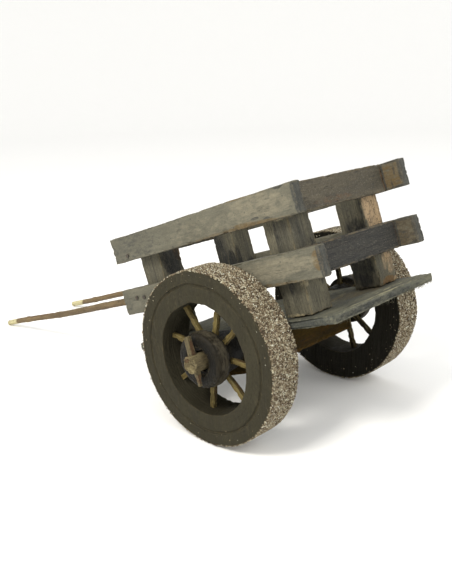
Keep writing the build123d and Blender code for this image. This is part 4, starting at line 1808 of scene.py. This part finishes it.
        # Painted shade on the face towards the bed.
        inner_face_shade = dark_patch((0.0, -self.sign, 0.0), (18, 1.5, 4), 1.0)
        root = dark_patch((-1.0, 0.0, 0.0), (5, 4, 4), 0.6)
        Board(node, "spoke_wood", self.finishes.spoke, lay, body=self.body,
              seed=self.seed + 13 + number, corner=0.5 * MM, spacing=0.42 * MM,
              fibre_depth=0.22 * MM, wander=0.12 * MM, edge_loss=0.5 * MM,
              patches=(dark_side, inner_face_shade, root)).build()

    def tread(self) -> None:
        """The sand tread: a rough bed under thousands of loose crystals."""
        node = f"tread_{self.side.word}"
        inner, outer, inner_face, outer_face = self.rings(node)
        low = outer - self.bed_drop
        inset = self.lip - self.bed_overlap
        outline = even_outline(np.array([
            (inner, inner_face + inset), (low, inner_face + inset),
            (low, outer_face - inset), (inner, outer_face - inset)]), 66, 1)
        ring = Turning(outline, self.tread_steps, self.seed + 21, ridges=0.0,
                       chatter=0.4 * MM, lost=self.lost)
        points, marks = ring.surface()
        speckle = Ripple(self.seed + 22, *self.BED_SPECKLE)(points)
        darkest, spread = self.BED_TINT
        marks = {"tint": darkest + spread * speckle}
        piece = skin(f"{node}_bed", self.placed(points), marks, ring=True)
        settle(piece, self.body, "tread_sand", self.finishes.sand, node)
        self.sand(node, outer, inner_face, outer_face)

    def sand(self, node: str, outer: float, inner_face: float,
             outer_face: float) -> None:
        """Lay crystals over the tread and scatter strays on the rim's faces.

        Crystals sit on a jittered lattice round the tread, with bare spots left
        out; edge crystals ring both edges, and strays thin out down the faces.

        Args:
            node: The tread's node name.
            outer: The tread's outer radius.
            inner_face: Its edge towards the bed.
            outer_face: Its edge away from the bed.
        """
        draw = np.random.default_rng(self.seed + 23)
        across = max(2, round((outer_face - inner_face) / self.grain_step))
        rounds = round(FULL_TURN * outer / self.grain_step)
        wide, turn = np.meshgrid((np.arange(across) + 0.5) / across,
                                 np.arange(rounds) * FULL_TURN / rounds)
        turn = turn + 0.5 * FULL_TURN / rounds * (np.arange(across) % 2)[None]
        count = wide.size
        wide = inner_face + (outer_face - inner_face) * wide.ravel()
        wide = wide + draw.normal(0.0, 1.0, count) * self.jitter
        turn = turn.ravel() + draw.normal(0.0, 1.0, count) * self.jitter / outer
        size = self.grain_size * draw.gamma(*self.GRAIN_LAW, count)
        radius = outer - size * draw.uniform(*self.GRAIN_SINK, count)
        bare_turn = draw.uniform(0.0, FULL_TURN, self.bare_spots)
        bare_wide = draw.uniform(inner_face, outer_face, self.bare_spots)
        gap = np.hypot((turn[:, None] - bare_turn) * outer, wide[:, None] - bare_wide)
        keep = (gap > draw.uniform(*self.BARE_SIZE, self.bare_spots) * MM).all(axis=1)
        turn, wide, radius, size = (v[keep] for v in (turn, wide, radius, size))
        edges = 2 * round(rounds * self.edge_share)
        edge_turn = draw.uniform(0.0, FULL_TURN, edges)
        edge_size = self.grain_size * draw.uniform(*self.EDGE_SIZE, edges)
        edge_side = np.where(np.arange(edges) % 2 == 0, inner_face, outer_face)
        edge_radius = outer - edge_size - draw.gamma(*self.EDGE_SINK, edges) * MM
        self.crystals(f"{node}_grains", np.concatenate((turn, edge_turn)),
                      np.concatenate((wide, edge_side)),
                      np.concatenate((radius, edge_radius)),
                      np.concatenate((size, edge_size)), outer)
        strays = self.stray_count
        stray_turn = draw.uniform(0.0, FULL_TURN, strays)
        stray_size = self.stray_size * draw.uniform(*self.STRAY_SIZE, strays)
        hole, rim_radius, rim_in, rim_out = self.rings(f"wheel_rim_{self.side.word}")
        stray_side = np.where(draw.uniform(size=strays) < self.stray_inner,
                              rim_in + self.stray_sink, rim_out - self.stray_sink)
        reach = np.minimum(draw.gamma(*self.STRAY_REACH, strays) * MM,
                           rim_radius - hole - MM)
        self.crystals(f"stray_sand_{self.side.word}", stray_turn, stray_side,
                      rim_radius - self.stray_start - reach, stray_size, outer)

    def crystals(self, name: str, turn: np.ndarray, wide: np.ndarray,
                 radius: np.ndarray, size: np.ndarray, limit: float) -> None:
        """Make one piece of many angular crystals.

        Each is an eight-sided crystal whose corners are pushed in or out, stretched
        three ways and turned by a random rotation from a unit quaternion.

        Args:
            name: The piece's name.
            turn: Each crystal's angle round the axle.
            wide: Its distance from the cart's middle.
            radius: Its distance from the axle.
            size: Its radius.
            limit: The largest radius that any corner may reach.
        """
        draw = np.random.default_rng(self.seed + len(name))
        count = len(turn)
        ball, faces = eight_faces()
        spin = draw.normal(size=(count, 4))
        w, x, y, z = (spin / np.linalg.norm(spin, axis=1, keepdims=True)).T
        turned = np.stack((
            np.stack((1 - 2 * (y*y + z*z), 2 * (x*y - z*w), 2 * (x*z + y*w)), -1),
            np.stack((2 * (x*y + z*w), 1 - 2 * (x*x + z*z), 2 * (y*z - x*w)), -1),
            np.stack((2 * (x*z - y*w), 2 * (y*z + x*w), 1 - 2 * (x*x + y*y)), -1)),
            axis=1)
        shape = ball[None] * draw.uniform(*self.CORNER_REACH, (count, len(ball), 1))
        shape = shape * draw.uniform(*self.STRETCH, (count, 1, 3)) * size[:, None, None]
        shape = np.einsum("nvi,nij->nvj", shape, turned)
        centre = np.stack((radius * np.sin(turn), wide, radius * np.cos(turn)), axis=-1)
        points = (centre[:, None] + shape).reshape(-1, 3)
        away = np.hypot(points[:, 0], points[:, 2])
        turned_to = np.arctan2(points[:, 0], points[:, 2])
        points[:, [0, 2]] *= (np.minimum(limit, away) - self.lost(turned_to)
                              )[:, None] / away[:, None]
        loops = (faces[None] + (np.arange(count) * len(ball))[:, None, None])
        if self.sign < 0:
            loops = loops[..., ::-1]
        tint = np.repeat(np.clip(draw.beta(*self.TINT_LAW, count), 0, 1), len(ball))
        piece = make_mesh(name, self.placed(points), loops.ravel(),
                          np.full(count * len(faces), 3), {"tint": tint}, smooth=False)
        settle(piece, self.body, "tread_sand", self.finishes.sand)


def eight_faces() -> tuple[np.ndarray, np.ndarray]:
    """A crystal of eight triangles: one corner each way along three axes.

    Returns:
        Its six unit corners and its faces, which look outwards.
    """
    ball = np.concatenate((np.eye(3), -np.eye(3)))
    signs = np.array([(x, y, z) for x in (1, -1) for y in (1, -1) for z in (1, -1)])
    faces = np.where(signs > 0, np.arange(3), np.arange(3, 6))
    turned_over = signs.prod(axis=1) < 0
    faces[turned_over] = faces[turned_over][:, ::-1]
    return ball, faces


@dataclass
class Fastenings:
    """Pegs and nails, which keep their CAD shapes."""

    finishes: Finishes

    def build(self) -> None:
        """Dress every fastening."""
        for node, finish in (("rail_pegs", self.finishes.peg),
                             ("front_nails", self.finishes.nail),
                             ("floor_nails", self.finishes.nail),
                             ("beam_nails", self.finishes.nail)):
            mesh = frame["nodes"][node].data
            mesh.materials.clear()
            mesh.materials.append(finish)
            LOG.info("%s: dressed", node)


# ---------------------------------------------------------------- the studio


@dataclass
class Studio:
    """A pale round studio with soft lights, and the camera."""

    cart: CartFrame
    flat_radius: float = 2.2
    sweep_radius: float = 1.1
    wall_height: float = 0.05
    lens: float = 45.37
    sensor: float = 36.0
    eye: tuple[float, float, float] = (0.4064, -0.3686, 0.2244)
    azimuth: float = 43.5
    elevation: float = 16.96
    roll: float = -1.65
    pale: Colour = paint(246, 246, 245)
    floor_rough: float = 0.9
    floor_specular: float = 0.1
    air: Colour = (1.0, 0.995, 0.98)
    air_strength: float = 1.0
    around: int = 96
    flat_rings: int = 12
    innermost: float = 0.02
    sweep_rings: int = 20
    near_clip: float = 0.01

    def build(self) -> None:
        """Build the floor, the lights and the camera."""
        self.floor()
        self.world()
        self.light("key", azimuth=2.0, elevation=47.0, distance=1.25, size=0.30,
                   power=11.5, warmth=(1.0, 0.965, 0.90))
        self.light("fill", azimuth=95.0, elevation=38.0, distance=1.5, size=1.1,
                   power=8.5, warmth=(1.0, 0.99, 0.96))
        self.camera()

    def floor(self) -> None:
        """A flat disc that sweeps up into a low wall: a profile turned once round."""
        quarter = np.linspace(0.0, math.pi / 2, self.sweep_rings)
        flat = np.linspace(self.innermost, self.flat_radius, self.flat_rings)[:-1]
        radius = np.concatenate((flat,
                                 self.flat_radius + self.sweep_radius * np.sin(quarter),
                                 [self.flat_radius + self.sweep_radius]))
        height = np.concatenate((0 * flat,
                                 self.sweep_radius * (1 - np.cos(quarter)),
                                 [self.sweep_radius + self.wall_height]))
        turn = np.linspace(0.0, FULL_TURN, self.around, endpoint=False)
        grid = np.stack(np.broadcast_arrays(
            radius[:, None] * np.cos(turn), radius[:, None] * np.sin(turn),
            height[:, None]), axis=-1)
        rows, around = grid.shape[:2]
        numbers = np.arange(rows * around).reshape(rows, around)
        quads = np.stack((numbers[:-1], np.roll(numbers[:-1], -1, 1),
                          np.roll(numbers[1:], -1, 1), numbers[1:]), -1)[..., ::-1]
        middle = np.stack((numbers[0], np.roll(numbers[0], -1),
                           np.full(around, rows * around)), -1)
        points = np.concatenate((grid.reshape(-1, 3), np.zeros((1, 3))))
        piece = make_mesh("studio_floor", points,
                          np.concatenate((quads.ravel(), middle.ravel())),
                          np.concatenate((np.full((rows - 1) * around, 4),
                                          np.full(around, 3))), {}, smooth=True)
        made, w, shader = blank_material("studio_pale")
        w.put(shader.inputs["Base Color"], self.pale)
        w.put(shader.inputs["Roughness"], self.floor_rough)
        w.put(shader.inputs["Specular IOR Level"], self.floor_specular)
        below = w.node("NewGeometry").outputs["Backfacing"]
        clear = w.node("BsdfTransparent").outputs[0]
        both = w.node("MixShader", {0: below, 1: shader.outputs[0], 2: clear})
        w.put(made.node_tree.nodes["Material Output"].inputs["Surface"],
              both.outputs[0])
        piece.data.materials.append(made)

    def world(self) -> None:
        """Even pale light from all round."""
        sky = bpy.data.worlds.new("studio_air")
        sky.use_nodes = True
        air = sky.node_tree.nodes["Background"]
        air.inputs["Color"].default_value = (*self.air, 1.0)
        air.inputs["Strength"].default_value = self.air_strength
        bpy.context.scene.world = sky

    def light(self, name: str, azimuth: float, elevation: float, distance: float,
              size: float, power: float, warmth: Colour) -> None:
        """Put a square light at a bearing from the cart and aim it there.

        Args:
            name: The light's name.
            azimuth: Its bearing: 0 is the cart's right side, 90 its tail.
            elevation: Its height above the floor, in degrees.
            distance: How far away it is.
            size: The square's side.
            power: In watts.
            warmth: Its colour.
        """
        a, e = math.radians(azimuth), math.radians(elevation)
        back = np.array((math.sin(a) * math.cos(e), -math.cos(a) * math.cos(e),
                         math.sin(e)))
        lamp = bpy.data.lights.new(name, "AREA")
        lamp.size = size
        lamp.energy = power
        lamp.color = warmth
        held = bpy.data.objects.new(name, lamp)
        held.matrix_world = aimed(self.cart.axle + back * distance, back, 0.0)
        bpy.context.scene.collection.objects.link(held)

    def camera(self) -> None:
        """The camera: low at the tail's right corner, tipped a little."""
        lens = bpy.data.cameras.new("camera")
        lens.lens = self.lens
        lens.sensor_width = self.sensor
        lens.sensor_fit = "AUTO"
        lens.clip_start = self.near_clip
        lens.dof.use_dof = False
        a, e = math.radians(self.azimuth), math.radians(self.elevation)
        back = np.array((math.sin(a) * math.cos(e), -math.cos(a) * math.cos(e),
                         math.sin(e)))
        held = bpy.data.objects.new("camera", lens)
        held.matrix_world = aimed(np.array(self.eye), back, math.radians(self.roll))
        bpy.context.scene.collection.objects.link(held)
        bpy.context.scene.camera = held


def aimed(eye: np.ndarray, back: np.ndarray, roll: float) -> Matrix:
    """The placing of something that looks against the direction back.

    Args:
        eye: Where it stands.
        back: Unit direction from what it looks at to it.
        roll: How far it is tipped about its own view, in radians.

    Returns:
        Its matrix.
    """
    level = np.cross(-back, (0.0, 0.0, 1.0))
    level /= np.linalg.norm(level)
    rise = np.cross(level, -back)
    right = level * math.cos(roll) + rise * math.sin(roll)
    up = -level * math.sin(roll) + rise * math.cos(roll)
    made = np.eye(4)
    made[:3, 0], made[:3, 1], made[:3, 2], made[:3, 3] = right, up, back, eye
    return Matrix(made.tolist())


def corners(box: tuple[Any, Any]) -> list[list[float]]:
    """A box's two corners as plain lists."""
    return [[float(value) for value in corner] for corner in box]


def main() -> None:
    """Build the cart, piece by piece, then the studio."""
    logging.basicConfig(level=logging.INFO, format="%(name)s: %(message)s")
    scene = bpy.context.scene
    scene.view_settings.view_transform = "Standard"
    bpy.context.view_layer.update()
    cart = CartFrame.from_record(frame)
    finishes = Finishes(Effects())
    Bed(cart, finishes).build()
    Undercarriage(cart, finishes).build()
    Shafts(cart, finishes).build()
    for side in Side:
        Wheel(side, cart, finishes).build()
    Fastenings(finishes).build()
    Studio(cart).build()


if __name__ == "__main__":
    main()
